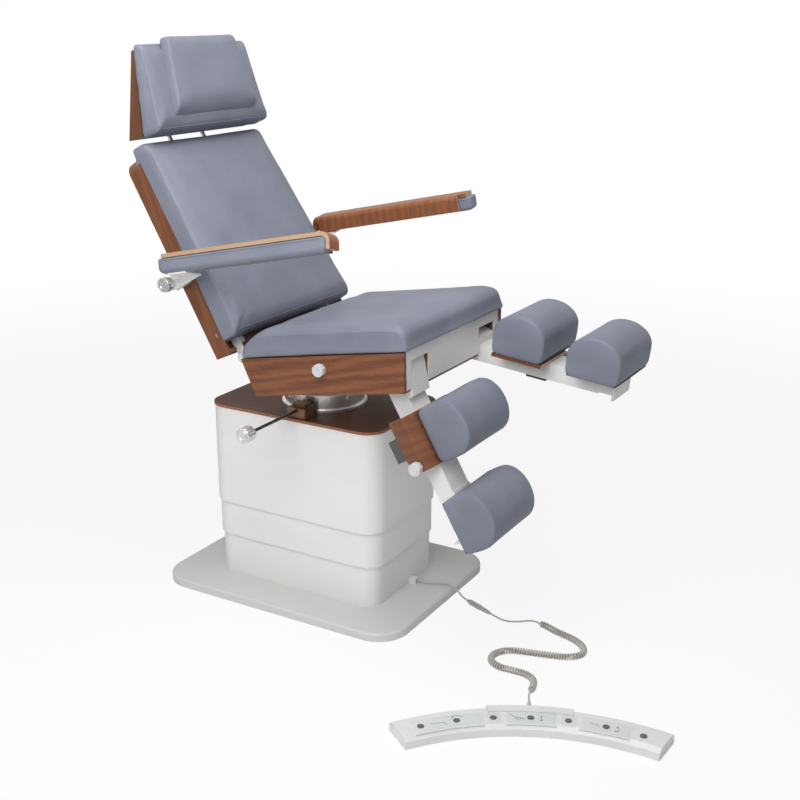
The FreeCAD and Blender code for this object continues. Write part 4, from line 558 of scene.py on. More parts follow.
def swell(piece, held, more=1.0):
    """Fills a cushion with cloth under pressure. Vertices that held() picks stay on what they rest on."""
    remesh(piece, sizes().voxel)
    group = piece.vertex_groups.new(name="held")
    rest = spots_of(piece.data)
    group.add([int(index) for index in numpy.nonzero(held(rest))[0]], 1.0, "REPLACE")
    modifier = piece.modifiers.new("Cloth", "CLOTH")
    cloth = modifier.settings
    cloth.quality = 4
    cloth.mass = 0.3
    cloth.tension_stiffness = cloth.compression_stiffness = 12
    cloth.bending_stiffness = 1.5
    cloth.use_pressure = True
    cloth.uniform_pressure_force = 4
    cloth.vertex_group_mass = "held"
    cloth.effector_weights.gravity = 0
    modifier.collision_settings.use_collision = False
    modifier.point_cache.frame_start, modifier.point_cache.frame_end = 1, CLOTH_FRAMES
    for number in range(1, CLOTH_FRAMES + 1):
        bpy.context.scene.frame_set(number)
    cap = sizes().swell * more
    travel = spots_of(piece.evaluated_get(bpy.context.evaluated_depsgraph_get()).data) - rest
    far = numpy.linalg.norm(travel, axis=1, keepdims=True)
    travel *= numpy.tanh(far / cap) * cap / numpy.maximum(far, TINY)
    piece.modifiers.remove(modifier)
    reshape(piece, lambda points: rest + travel)
    piece.vertex_groups.clear()
    bpy.context.scene.frame_set(1)


def finish_cushion(piece, levels=1, smooth=6):
    use_modifier(piece, "SMOOTH", factor=0.5, iterations=smooth)
    if levels:
        use_modifier(piece, "SUBSURF", levels=levels, render_levels=levels)


def densify(path, step):
    """Straight runs of a path divided into short steps."""
    points = []
    for start_at, end_at in zip(path, path[1:]):
        count = max(1, int((end_at - start_at).length / step))
        points += [start_at.lerp(end_at, index / count) for index in range(count)]
    return points + [path[-1].copy()]


def seam(name, cushion, path, closed=True, proud=0.0002, step=None):
    """A sewn seam: a fine cord laid on the cushion's surface along a path, whose runs step divides."""
    if step:
        path = densify(path + path[:1], step)[:-1] if closed else densify(path, step)
    mesh = bpy.data.meshes.new(name)
    edges = [(index, index + 1) for index in range(len(path) - 1)]
    if closed:
        edges.append((len(path) - 1, 0))
    mesh.from_pydata([tuple(point) for point in path], edges, [])
    line = add_object(name, mesh)
    use_modifier(line, "SHRINKWRAP", target=cushion, offset=proud, wrap_method="NEAREST_SURFACEPOINT")
    use_modifier(line, "SMOOTH", factor=0.5, iterations=3)
    activate(line)
    bpy.ops.object.convert(target="CURVE")
    line = bpy.context.object
    line.data.bevel_depth = sizes().seam_width / 2
    line.data.bevel_resolution = 2
    bpy.ops.object.convert(target="MESH")
    line = bpy.context.object
    line.name = line.data.name = name
    return line


def upholster(pieces, name, body, place, turn=Matrix.Identity(4)):
    """Lays a cushion and its seams down in leatherette, whose grain follows the place."""
    look = leatherette(name + "_leatherette", place)
    for piece in pieces:
        fit(piece, place @ turn, look, body, 0)


def widen_block(points, half, firm, margin):
    """Widens a block of half width 1, and keeps the rounding of its sides."""
    x = points[:, 0]
    edge = numpy.maximum(0, numpy.abs(x) - firm)
    flat = numpy.minimum(numpy.abs(x), firm) / firm
    points[:, 0] = numpy.sign(x) * (flat * (half - margin) + edge * 0.3)


# the seat cushion's height from its front to its rear, as shares of the full one
SEAT_PROFILE_SHARES = (
    (0, 0.80), (0.018, 0.90), (0.05, 0.955), (0.11, 0.985), (0.2, 0.99), (0.4, 0.99), (0.6, 1), (0.8, 1),
    (0.86, 0.98), (0.905, 0.885), (0.945, 0.71), (0.975, 0.58), (1, 0.42),
)


def make_seat_cushion():
    """Seat cushion: crowned top, a rolled front edge and a low rear corner under the back."""
    front, rear, base, top = -0.463, 0.079, 0.0603, 0.134
    cushion = soft_block("seat_upholstery", (-0.289, front, base), (0.289, rear, top),
                         (0.012, 0.012, 0.008), (0.026, 0.026, 0.022), 34)
    shares, fulls = zip(*SEAT_PROFILE_SHARES)

    def roll(points):
        along = (points[:, 1] - front) / (rear - front)
        points[:, 2] = base + (points[:, 2] - base) * numpy.interp(along, shares, fulls)
        waist = 1 - 0.014 * (1 - (2 * along - 1) ** 2)
        points[:, 0] *= waist
        return points

    reshape(cushion, roll)
    swell(cushion, lambda points: points[:, 2] < base + 0.004)
    finish_cushion(cushion)
    pieces = [cushion]
    aside, steps = 0.290, 12
    first, last = front + 0.040, rear - 0.060
    for name, sign in (("seat_right_seam", -1), ("seat_left_seam", 1)):
        # up the front corner, then along the top edge of the side
        path = [Vector((aside * sign, front + 0.010, base + share * (top - base)))
                for share in (0.08, 0.4, 0.66)]
        for index in range(steps):
            y = first + (last - first) * index / (steps - 1)
            full = float(numpy.interp((y - front) / (rear - front), shares, fulls))
            path.append(Vector((aside * sign, y, base + (top - base) * full - 0.010)))
        pieces.append(seam(name, cushion, path, False, -0.0003, 0.010))
    upholster(pieces, "seat", "seat", SEAT)
    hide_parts("seat_cushion")


def tapering(foot_half, foot, loss, tall):
    """A half width that falls evenly from a cushion's foot up."""
    return lambda up: foot_half - (up - foot) * loss / tall


back_half = tapering(0.302, 0.054, 0.034, 0.588)
head_half = tapering(0.266, -0.155, 0.026, 0.260)
pillow_half = tapering(0.187, -0.108, 0.033, 0.220)


def face_corners(half, low, high, inset, margin, height, aside=0):
    """Corners of a cushion's face, set in from its ends and sides."""
    return [Vector((aside + (half(up) - margin) * x, up, height))
            for x, up in ((-1, low + inset), (-1, high - inset), (1, high - inset), (1, low + inset))]


def make_back_cushion():
    """Backrest cushion, wider at the foot, its face drawn tight over a firm core."""
    face, rest, low, high = 0.068, 0.0122, 0.056, 0.658
    cushion = soft_block("back_upholstery", (-1, low, -rest), (1, high, face), (0.010, 0.012, 0.008),
                         (0.024, 0.030, 0.026), 34)

    def shape(points):
        along = (points[:, 1] - low) / (high - low)
        widen_block(points, back_half(points[:, 1]), 0.9, 0.030)
        points[:, 0] *= 1 - 0.012 * (1 - (2 * along - 1) ** 2)
        points[:, 2] -= numpy.clip((along - 0.80) / 0.20, 0, 1) ** 2 * (points[:, 2] + rest) * 0.12
        points[:, 2] = numpy.where(along > 0.93, numpy.maximum(points[:, 2], 0.001), points[:, 2])
        return points

    reshape(cushion, shape)
    swell(cushion, lambda points: points[:, 2] < -rest + 0.004, 7 / 6)
    finish_cushion(cushion)
    path = face_corners(back_half, low, high, 0.016, 0.012, face - 0.010)
    line = seam("back_face_seam", cushion, path, step=0.012)
    upholster((cushion, line), "back", "back", BACK, LYING)
    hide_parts("back_cushion")


def make_head_cushion():
    """Headrest wedge with a separate pillow pad sewn on its face."""
    low, high = -0.146, 0.105
    cushion = soft_block("head_upholstery", (-1, low, -1), (1, high, 0), (0.03, 0.010, 0.1),
                         (0.03, 0.022, 0.4), 32)

    def thicker(points):
        """What the wedge gains in depth from its top down."""
        core_top, core_tall, gain = 0.098, 0.253, 0.037
        return (core_top - points[:, 1]) / core_tall * gain

    def wedge(points):
        widen_block(points, head_half(points[:, 1]), 0.93, 0.024)
        points[:, 2] *= 0.031 + thicker(points)
        return points

    reshape(cushion, wedge)
    swell(cushion, lambda points: points[:, 2] < -0.024 - thicker(points))
    finish_cushion(cushion)
    top = 0.030
    pillow = soft_block("head_pillow", (-1, -0.108, -0.004), (1, 0.112, top), (0.02, 0.010, 0.004),
                        (0.03, 0.022, 0.010), 34)

    def taper(points):
        points[:, 0] *= pillow_half(points[:, 1])
        rise = numpy.clip(points[:, 2], 0, top)
        points[:, 0] -= numpy.sign(points[:, 0]) * rise * 0.22
        points[:, 1] += numpy.clip(0.06 - points[:, 1], 0, 0.16) / 0.16 * rise * 0.85
        return points

    def sewn_on(points):
        return (points[:, 2] < 0.001) | (numpy.abs(points[:, 0]) > pillow_half(points[:, 1]) - 0.010)

    reshape(pillow, taper)
    swell(pillow, sewn_on)
    finish_cushion(pillow, smooth=3)
    path = face_corners(head_half, low, high, 0.012, 0.010, -0.008)
    pieces = [cushion, pillow, seam("head_face_seam", cushion, path, step=0.010)]
    for name, sign in (("pillow_right_seam", -1), ("pillow_left_seam", 1)):
        path = [Vector(((pillow_half(up) - 0.009) * sign, up, top)) for up in (-0.094, 0.106)]
        pieces.append(seam(name, pillow, path, False, step=0.008))
    upholster(pieces, "head", "headrest", HEAD, LYING)
    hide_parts("headrest_cushion")


def make_bolster(name):
    """A D-shaped bolster, its ends closed by a sewn panel: the pad, its two seams and its board."""
    half = 0.1255
    pad = soft_block(name, (-half, -0.077, 0), (half, 0.077, 0.121), (0.005, 0.022, 0.018),
                     (0.006, 0.072, 0.078), 36)

    def bow(points):
        share = points[:, 0] / half
        full = points[:, 2] / 0.120
        swollen = numpy.maximum(0, numpy.abs(share) - 0.9) * 0.02 * (1 - (2 * full - 0.9) ** 2)
        points[:, 0] += numpy.sign(share) * swollen
        points[:, 1] *= 1 - 0.012 * (1 - share ** 2)
        return points

    reshape(pad, bow)
    remesh(pad, FINE_VOXEL)
    finish_cushion(pad, 0, 4)
    pieces = {"": pad}
    for end, suffix in ((-1, "_seam_near"), (1, "_seam_far")):
        x = end * (half - 0.0055)
        arch = [math.pi * index / 48 for index in range(2, 47)]
        path = [Vector((x, 0.080, 0.004))]
        path += [Vector((x, 0.083 * math.cos(turn), 0.124 * math.sin(turn) ** 0.7)) for turn in arch]
        path.append(Vector((x, -0.080, 0.004)))
        pieces[suffix] = seam(name + suffix, pad, path, False, -0.0005)
    long = half - 0.004
    pieces["_base"] = soft_block(name + "_base", (-long, -0.072, 0), (long, 0.072, 0.004),
                                 (0.004, 0.004, 0.001), (0.004, 0.004, 0.001), 6)
    return pieces


def make_calf_pads():
    """One bolster modelled, and copied for the other three."""
    spots = [(side, sign, which) for side, sign in SIDES for which in ("upper", "lower")]
    names = ["%s_%s_calf_bolster" % (side, which) for side, sign, which in spots]
    pieces = {suffix: copies(model, [name + suffix for name in names])
              for suffix, model in make_bolster(names[0]).items()}
    for index, (side, sign, which) in enumerate(spots):
        along, above, across = PAD_SPOTS["%s_%s" % (side, which)]
        place = leg_frame(side, sign) @ shift(across, -along, above)
        body = side + ("_calf_rest" if which == "upper" else "_leg_end")
        pad, base = pieces[""][index], pieces["_base"][index]
        upholster((pad, pieces["_seam_near"][index], pieces["_seam_far"][index]), names[index], body, place)
        board = moulded(names[index] + "_base_board", (0.06, 0.06, 0.065))
        fit(base, place @ shift(0, 0, 0.0002), board, body)
        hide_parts("%s_%s_calf_pad" % (side, which))


def make_arm_pad(side, sign):
    """The long pad under an armrest's strip, its lower edges round."""
    hooked_front = side == "right"
    low, high = (-ARM_LONG + 0.015, 0.014) if hooked_front else (-ARM_LONG - 0.014, -0.015)
    name = side + "_armrest_upholstery"
    # modelled upside down, so that the flat side lies on the strip, beside its bent flange
    half, aside = 0.0204, -0.00615 * sign
    pad = soft_block(name, (aside - half, low, 0.0113), (aside + half, high, 0.0535), (0.004, 0.010, 0.004),
                     (0.014, 0.022, 0.014), 40)
    remesh(pad, FINE_VOXEL)
    finish_cushion(pad, 0, 4)
    path = face_corners(lambda up: half + 0.002, low, high, 0.004, 0, 0.0175, aside)
    line = seam(name + "_seam", pad, path, step=0.010)
    upholster((pad, line), name, side + "_arm", arm_frame(side, sign) @ spin((0, 1, 0), 180))
    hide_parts(side + "_armrest_pad")


# Knobs and fixings
def make_grip(name, radius, long, lobes=8):
    """A lobed turning grip along +Z, with a ring and a cap in its face."""
    grip = start("cylinder", name, vertices=lobes * 8, radius=radius, depth=long, location=(0, 0, long / 2))
    pick_top(grip)
    for thickness, depth in ((0.18, 0), (0.03, -0.06), (0.16, 0), (0.05, 0.08), (0.12, 0), (0.05, -0.04)):
        bpy.ops.mesh.inset(thickness=thickness * radius, depth=depth * long)
    bpy.ops.object.mode_set(mode="OBJECT")

    def scallop(points):
        turn = numpy.arctan2(points[:, 1], points[:, 0])
        outer = numpy.linalg.norm(points[:, :2], axis=1) > radius * 0.95
        pull = 1 - 0.08 * outer * (0.5 + 0.5 * numpy.cos(lobes * turn)) ** 2
        points[:, 0] *= pull
        points[:, 1] *= pull
        return points

    reshape(grip, scallop)
    pick_edges(grip, lambda a, b: abs(a.z - b.z) < 1e-6 and abs(a.z - long / 2) > long * 0.4
               and min(a.xy.length, b.xy.length) > radius * 0.9)
    bpy.ops.mesh.bevel(offset=radius * 0.07, segments=3)
    face_outward()
    return grip


def make_screw(name, radius, tall):
    """A socket-head screw along +Z."""
    head = start("cylinder", name, vertices=24, radius=radius, depth=tall, location=(0, 0, tall / 2))
    pick_top(head)
    bpy.ops.mesh.inset(thickness=radius * 0.42)
    bpy.ops.mesh.inset(thickness=radius * 0.02, depth=-tall * 0.6)
    round_rim(head, tall * 0.99, radius * 0.9, radius * 0.12)
    return head


def make_stud(name, radius, low, high):
    stud = start("cylinder", name, vertices=32, radius=radius, depth=high - low,
                 location=(0, 0, (low + high) / 2))
    pick_edges(stud, lambda a, b: abs(a.z - b.z) < 1e-6)
    bpy.ops.mesh.bevel(offset=radius * 0.12, segments=2)
    bpy.ops.object.mode_set(mode="OBJECT")
    return stud


def toward_x(sign):
    """A frame whose +Z lies along the chair's X."""
    return spin((0, sign, 0), 90)


def make_knobs():
    """Knobs of the seat, armrests and calf rests, each kind modelled once."""
    chrome = turned_steel("knob_chrome", (0.85, 0.85, 0.86), None, 0.20, 400)
    ivory = moulded("knob_ivory", (0.66, 0.665, 0.67), 0.22)
    pivot = arm_pivot()
    seat = [("seat_knob", "seat_knob_grip", -1, SEAT @ Vector((-0.2853, -0.186, 0.024)), "seat_lock")]
    arms, calves = [], []
    for side, sign in SIDES:
        arms.append((side + "_armrest_knob", side + "_armrest_grip", sign,
                     Vector((0.3343 * sign, pivot.y, pivot.z)), side + "_arm_lock"))
        along = PAD_SPOTS[side + "_upper"][0] + 0.060
        calves.append((side + "_calf_knob", side + "_calf_grip", sign,
                       leg_frame(side, sign) @ Vector((0.0953 * sign, -along, -0.008)), side + "_calf_lock"))
    # each kind: its knobs, the grip's radius and length, the stud's radius, low and high end, and its finish
    kinds = ((seat, 0.0175, 0.018, 0.005, -0.020, 0.2, ivory, "knob_grip"),
             (arms, 0.021, 0.0225, 0.006, 0.5 * 0.0225, 0.9, chrome, "chrome"),
             (calves, 0.018, 0.020, 0.004, -0.013, 0.2, ivory, "knob_grip"))
    for knobs, radius, long, stud, low, high, look, slot in kinds:
        names = [knob[1] for knob in knobs]
        model = join([make_grip(names[0], radius, long), make_stud("stud", stud, low, long * high)], names[0])
        for piece, (node, name, sign, spot, body) in zip(copies(model, names), knobs):
            fit(piece, Matrix.Translation(spot) @ toward_x(sign), look, body)
            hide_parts(node)


def make_brake():
    """The swivel brake's rod and its lobed grip."""
    rod_at = shift(-0.156, -0.025, 0.585) @ toward_x(-1)
    rod = make_stud("brake_rod", 0.0045, 0, 0.247)
    fit(rod, rod_at, turned_steel("brake_rod_steel", (0.10, 0.10, 0.105), rod_at, 0.22), "brake")
    fit(make_grip("brake_grip", 0.022, 0.034, 10), rod_at @ shift(0, 0, 0.245),
        turned_steel("brake_grip_chrome", (0.88, 0.88, 0.88), rod_at, 0.28, 700), "brake")
    collar = start("cone", "brake_collar", vertices=48, radius1=0.009, radius2=0.013, depth=0.012,
                   location=(0, 0, 0.240))
    fit(collar, rod_at, turned_steel("brake_collar_chrome", (0.75, 0.75, 0.76), rod_at, 0.14, 700), "brake")
    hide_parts("brake_lever")


SCREW_CIRCLE, SCREW_LEVEL = 0.103, 0.612
KNUCKLE_HALF = 0.0417


def make_fixings():
    """Screw heads on the turntable and the knee ears, each kind modelled once."""
    steel = turned_steel("screw_steel", (0.62, 0.62, 0.63), None, 0.24, 300)
    ring, knuckles = [], []
    for index in range(12):
        turn = math.radians(index * 30 + 8)
        at = shift(SCREW_CIRCLE * math.cos(turn), SCREW_CIRCLE * math.sin(turn), SCREW_LEVEL)
        ring.append(("turntable_screw_%d" % index, at, "turntable"))
    for side, sign in SIDES:
        leg = leg_frame(side, sign)
        for index, (along, above) in enumerate(((0.008, 0.020), (-0.012, 0.048))):
            for face, letter in ((-1, "a"), (1, "b")):
                at = leg @ shift(KNUCKLE_HALF * face, -along, above) @ toward_x(face)
                knuckles.append(("%s_knuckle_screw_%d%s" % (side, index, letter), at, side + "_leg"))
    for screws, radius, tall in ((ring, 0.0055, 0.004), (knuckles, 0.005, 0.003)):
        names = [screw[0] for screw in screws]
        for piece, (name, at, body) in zip(copies(make_screw(names[0], radius, tall), names), screws):
            fit(piece, at, steel, body)


# Foot control
CONTROL = shift(-1.047, -1.183, 0)
BUTTON_RADIUS, FIRST_BUTTON, BUTTON_STEP = 0.640, 1.6, 8.15
INLAY_LEVELS, RIM_LEVELS, MARK_LEVEL = (0.0292, 0.0307), (0.0290, 0.0304), 0.0306


def arc_plate(name, inner, outer, middle, half_turn, low, high):
    """A thin plate bent to the foot control's arc, its edges rounded."""
    plate = fine_cube(name, 9)

    def bend(points):
        radius = (inner + outer) / 2 + points[:, 0] * (outer - inner) / 2
        turn = numpy.radians(middle + points[:, 1] * half_turn)
        return numpy.stack([radius * numpy.cos(turn), radius * numpy.sin(turn),
                            (low + high) / 2 + points[:, 2] * (high - low) / 2], axis=1)

    reshape(plate, bend)
    use_modifier(plate, "BEVEL", width=0.0004, segments=2, limit_method="ANGLE", angle_limit=math.radians(50))
    return plate


def control_spot(radius, angle, z):
    turn = math.radians(angle)
    return Vector((radius * math.cos(turn), radius * math.sin(turn), z))


# strokes of each mark: points across and out
MARK_STROKES = {
    "lounge": (((-1.5, 1.2), (-0.5, -0.1), (0.6, -0.2), (1.4, -0.6)),
               ((-0.3, -0.1), (-0.3, -0.8), (0.6, -0.8), (0.6, -0.2))),
    "legs": (((-1.5, 0.5), (-0.4, 0.2), (0.9, 0.1), (1.4, -0.7)),),
    "rise": (((0, -1), (0, 1)), ((-0.35, 0.55), (0, 1), (0.35, 0.55)),
             ((-0.35, -0.55), (0, -1), (0.35, -0.55))),
    "swing": (((-1.3, 0.3), (-0.6, 0.75), (0.1, 0.75), (0.8, 0.4), (1.3, -0.1)),
              ((-0.8, 0.05), (-1.3, 0.3), (-1.0, 0.8))),
    "turn": (((-0.3, 1), (0.25, 0.7), (0.45, 0), (0.25, -0.7), (-0.3, -1)),
             ((0.1, 1.1), (-0.3, 1), (-0.15, 0.55)), ((0.1, -1.1), (-0.3, -1), (-0.15, -0.55))),
}
# each panel: its middle and half turn from its button, then its marks with their turn, radius and size
CONTROL_PANELS = {
    1: (0, 5.6, (("legs", 2.5, 0.642, 0.009), ("turn", -2.4, 0.639, 0.010))),
    3: (0, 5.6, (("lounge", 2.9, 0.642, 0.012), ("rise", -2.3, 0.640, 0.011))),
    5: (2.2, 8.0, (("legs", 4.0, 0.638, 0.013), ("swing", -0.4, 0.654, 0.010))),
}


def make_mark(name, kind, radius, angle, scale, look):
    """A small raised mark: strokes laid on the foot control."""
    data = bpy.data.curves.new(name, "CURVE")
    data.dimensions = "3D"
    for stroke in MARK_STROKES[kind]:
        line = data.splines.new("POLY")
        line.points.add(len(stroke) - 1)
        for point, (across, out) in zip(line.points, stroke):
            point.co = (out * scale, -across * scale, 0, 1)
    data.bevel_depth = 0.0007
    data.bevel_resolution = 1
    activate(add_object(name, data))
    bpy.ops.object.convert(target="MESH")
    place = Matrix.Translation(control_spot(radius, angle, MARK_LEVEL)) @ spin((0, 0, 1), angle)
    fit(bpy.context.object, CONTROL @ place, look, "base")


def make_button(name):
    """A round button with a dished top."""
    button = start("cylinder", name, vertices=48, radius=0.0085, depth=0.012, location=(0, 0, 0.006))
    pick_top(button)
    bpy.ops.mesh.inset(thickness=0.0022, depth=0.0006)
    bpy.ops.mesh.inset(thickness=0.0016, depth=-0.0009)
    round_rim(button, 0.0119, 0.008, 0.0010)
    return button


def make_foot_control():
    shell = moulded("control_shell_plastic", "control", 0.36)
    inlay = moulded("control_inlay_plastic", (0.675, 0.700, 0.698), 0.42)
    dark = moulded("control_button_rubber", "button", 0.55, 1200)
    paint("foot_control_housing", shell)
    buttons = copies(make_button("button_cap_1"), ["button_cap_%d" % (index + 1) for index in range(7)])
    for index, button in enumerate(buttons):
        angle = FIRST_BUTTON + BUTTON_STEP * index
        plates = []
        if index % 2:
            middle, half, marks = CONTROL_PANELS[index]
            plates = [("panel", 0.6155, 0.6645, angle + middle, half - 0.3, inlay),
                      ("panel_rim", 0.611, 0.669, angle + middle, half + 0.1, shell)]
            for kind, turn, radius, scale in marks:
                make_mark("control_%s_mark_%d" % (kind, index), kind, radius, angle + turn, scale, dark)
        elif 0 < index < 6:
            plates = [("square", 0.6195, 0.6605, angle, 1.45, inlay),
                      ("square_rim", 0.616, 0.664, angle, 1.80, shell)]
        for kind, inner, outer, middle, half, look in plates:
            levels = INLAY_LEVELS if look == inlay else RIM_LEVELS
            plate = arc_plate("control_%s_%d" % (kind, index), inner, outer, middle, half, *levels)
            fit(plate, CONTROL, look, "base")
        fit(button, CONTROL @ Matrix.Translation(control_spot(BUTTON_RADIUS, angle, 0.021)), dark,
            "button_%d" % (index + 1))
        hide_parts("foot_button_%d" % (index + 1))
    paint("foot_control_socket", moulded("socket_rubber", (0.50, 0.48, 0.44), 0.5))


# Cords, with the route points of the CAD
COLUMN_POINTS = (
    (28, -290.6, 34), (28, -318, 34), (36, -346, 33.5), (50, -374, 34), (54, -402, 35), (51, -427, 25),
    (44.4, -449.7, 8), (36, -470, 8),
)
FLOOR_POINTS = (
    (-2, -561.4, 8), (-10.3, -581.3, 8), (-13.5, -607, 3.2), (-7, -634, 2.7), (9, -658, 3), (18.5, -685, 9.7),
    (14.03, -709.01, 9.7),
)
COIL_POINTS = (
    (14, -709, 9.7), (8, -736, 9.7), (-8, -770, 9.7), (-17, -812, 9.7), (-34, -852, 9.7), (-62, -878, 9.7),
    (-94, -882, 9.7), (-122, -856, 9.7), (-137, -808, 9.7), (-150, -758, 9.7), (-164, -708, 9.7),
    (-187, -682, 9.7), (-217, -672, 9.7), (-246, -683, 9.7), (-263, -714, 9.7), (-258, -756, 9.7),
    (-258, -794, 9.7), (-274, -822, 9.7), (-303, -834, 9.7), (-330, -838, 9.7),
)
TAIL_POINTS = (
    (-329.99, -838.03, 9.7), (-345.8, -840.3, 9.7), (-365.4, -849.1, 12), (-383.36, -857.9, 12),
)


def smooth_curve(name, points, width=0.0):
    """A cord's line: one open spline led by its points, in metres."""
    data = bpy.data.curves.new(name, "CURVE")
    data.dimensions = "3D"
    line = data.splines.new("NURBS")
    line.points.add(len(points) - 1)
    for spot, point in zip(line.points, points):
        spot.co = (*point, 1)
    line.order_u = 3
    line.use_endpoint_u = True
    line.resolution_u = 6
    data.bevel_depth = width / 2
    data.bevel_resolution = 3
    data.use_fill_caps = True
    return add_object(name, data)


def in_metres(points):
    return [tuple(value * MM for value in point) for point in points]


def line_of(curve):
    """The points of a curve object's line, from a copy without thickness."""
    data = curve.data.copy()
    data.bevel_depth = 0
    plain = add_object("cord_measure", data)
    bpy.context.view_layer.update()
    mesh = bpy.data.meshes.new_from_object(plain)
    path = spots_of(mesh)
    bpy.data.objects.remove(plain)
    bpy.data.meshes.remove(mesh)
    return path, numpy.linalg.norm(numpy.diff(path, axis=0), axis=1)


def points_along(points, count):
    """Evenly spaced points and headings along the spline that points lead."""
    guide = smooth_curve("cord_guide", points)
    path, runs = line_of(guide)
    bpy.data.objects.remove(guide)
    reach = numpy.concatenate([[0], numpy.cumsum(runs)])
    wanted = numpy.linspace(0, reach[-1], count)
    spots = numpy.stack([numpy.interp(wanted, reach, path[:, axis]) for axis in range(3)], axis=1)
    ways = numpy.gradient(spots, axis=0)
    return spots, ways / numpy.linalg.norm(ways, axis=1, keepdims=True)


def curled_points():
    """The curly stretch: points of a helix round its middle line, opening from it at both ends."""
    turns, steps = sizes().curls, 12
    count = turns * steps + 1
    spots, ways = points_along(in_metres(COIL_POINTS), count)
    radius = (sizes().curl_width - sizes().cord_width) / 2 / math.cos(math.pi / steps)
    ramp = 1.5 * steps
    curled = []
    for index in range(count):
        end = min(index, count - 1 - index) / ramp
        share = min(1, max(0, end))
        reach = radius * share * share * (3 - 2 * share)
        side = numpy.cross((0, 0, 1), ways[index])
        side /= numpy.linalg.norm(side)
        turn = 2 * math.pi * index / steps
        curled.append(tuple(spots[index] + side * reach * math.cos(turn)
                            + numpy.array((0, 0, 1)) * reach * math.sin(turn)))
    return curled


def spline_length(curve):
    return float(line_of(curve)[1].sum())


def make_connector():
    """In-line connector: a ribbed body with two tapered sleeves."""
    first, last = (Vector(point) for point in in_metres((COLUMN_POINTS[-1], FLOOR_POINTS[0])))
    long = (last - first).length
    body = start("cylinder", "cord_connector", vertices=40, radius=1, depth=long, location=(0, 0, long / 2))
    bpy.ops.object.mode_set(mode="EDIT")
    rings = 40
    for index in range(1, rings):
        bpy.ops.mesh.select_all(action="SELECT")
        bpy.ops.mesh.bisect(plane_co=(0, 0, long * index / rings), plane_no=(0, 0, 1))
    bpy.ops.object.mode_set(mode="OBJECT")
    shares = (0, 0.09, 0.12, 0.55, 0.57, 0.60, 0.63, 0.88, 1)
    radii = (0.0040, 0.0060, 0.0076, 0.0076, 0.0070, 0.0070, 0.0060, 0.0056, 0.0036)

    def turn(points):
        share = points[:, 2] / long
        radius = numpy.interp(share, shares, radii)
        rib = numpy.where((share > 0.64) & (share < 0.9), 0.0004 * numpy.cos(share * 2 * math.pi * 20), 0)
        points[:, 0] *= radius + rib
        points[:, 1] *= radius + rib
        return points

    reshape(body, turn)
    way = (last - first).normalized().to_track_quat("Z", "Y").to_matrix().to_4x4()
    fit(body, Matrix.Translation(first) @ way, moulded("connector_plastic", (0.42, 0.41, 0.38), 0.4), "base")
    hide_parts("inline_connector")
    return body


def make_cords():
    look = moulded("cord_jacket", "cord", 0.42, 1500, 0.00008)
    width = sizes().cord_width
    connector = make_connector()
    lead = smooth_curve("column_cord", in_metres(COLUMN_POINTS), width)
    route = in_metres(FLOOR_POINTS[:-1]) + curled_points() + in_metres(TAIL_POINTS[1:])
    curly = smooth_curve("curly_cord", route, width)
    curly.data.splines[0].resolution_u = 2
    for cord, nodes in ((lead, ["cord_column_lead"]),
                        (curly, ["cord_floor_lead", "coil_cord", "cord_tail_lead"])):
        cord.data.materials.append(look)
        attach(cord, "base")
        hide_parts(*nodes)
    spline_length(lead)
    spline_length(curly)


# Materials of the CAD nodes whose shape is right
def paint_frame():
    coat = powder_coat("column_powder_coat", "powder_coat")
    for node in ("lower_column_cover", "middle_column_cover", "upper_column_cover"):
        paint(node, coat)
    # painted shade: the base plate takes the same powder coat dimmed to 0.79, darker for the shade that falls
    # on its top around the column
    paint("base_plate", powder_coat("base_powder_coat", dimmed(shade_of("powder_coat"), 0.79), 0.42))
    arms = powder_coat("frame_powder_coat", "powder_coat", 0.34, False)
    for node in ("seat_frame", "seat_front_panel", "back_frame", "tilt_yoke", "right_armrest_bracket",
                 "left_armrest_bracket", "right_leg_bar", "left_leg_bar", "right_leg_extension",
                 "left_leg_extension"):
        paint(node, arms)
    paint("turntable_flange", turned_steel("turntable_steel", "steel", None, 0.20))
    for node in ("lift_column_outer", "lift_column_middle", "lift_column_inner"):
        paint(node, turned_steel(node + "_steel", (0.50, 0.50, 0.51), None, 0.3, 200))
    paint("lift_drive", powder_coat("drive_paint", (0.07, 0.07, 0.075), 0.45, False))
    paint("mains_inlet", moulded("inlet_plastic", (0.02, 0.02, 0.022), 0.4))
    paint("cable_clip", moulded("clip_plastic", (0.76, 0.76, 0.75), 0.4))
    paint("brake_bracket", turned_steel("brake_bronze", "bronze", None, 0.34, 300, 0.85))
    paint("headrest_rods", turned_steel("headrest_rod_chrome", (0.80, 0.80, 0.81), HEAD, 0.2, 300))


SQUARELY = 0.7, 0.06  # from what facing a cut shows, and how softly


def arm_cuts(side, sign):
    """The sawn faces of an armrest's strip: its outer long edge, its lower edge and its plain end."""
    place = arm_frame(side, sign)
    turn = place.to_3x3()
    end, plain_from = (1, -0.030) if side == "right" else (-1, ARM_LONG - 0.030)

    def cut(finish):
        spot = finish.coordinates(place)
        outer = (finish.toward(turn @ Vector((sign, 0, 0))).above(*SQUARELY)
                 * (finish.axis(spot, 0) * sign).above(ARM_HALF - 0.003, 0.0005))
        low = (finish.toward(turn @ Vector((0, 0, -1))).above(*SQUARELY)
               * (1 - finish.axis(spot, 2).above(-0.044, 0.0005)))
        plain = (finish.toward(turn @ Vector((0, end, 0)))
                 * (finish.axis(spot, 1) * end).above(plain_from, 0.001))
        return outer + low + plain.above(*SQUARELY)

    return cut


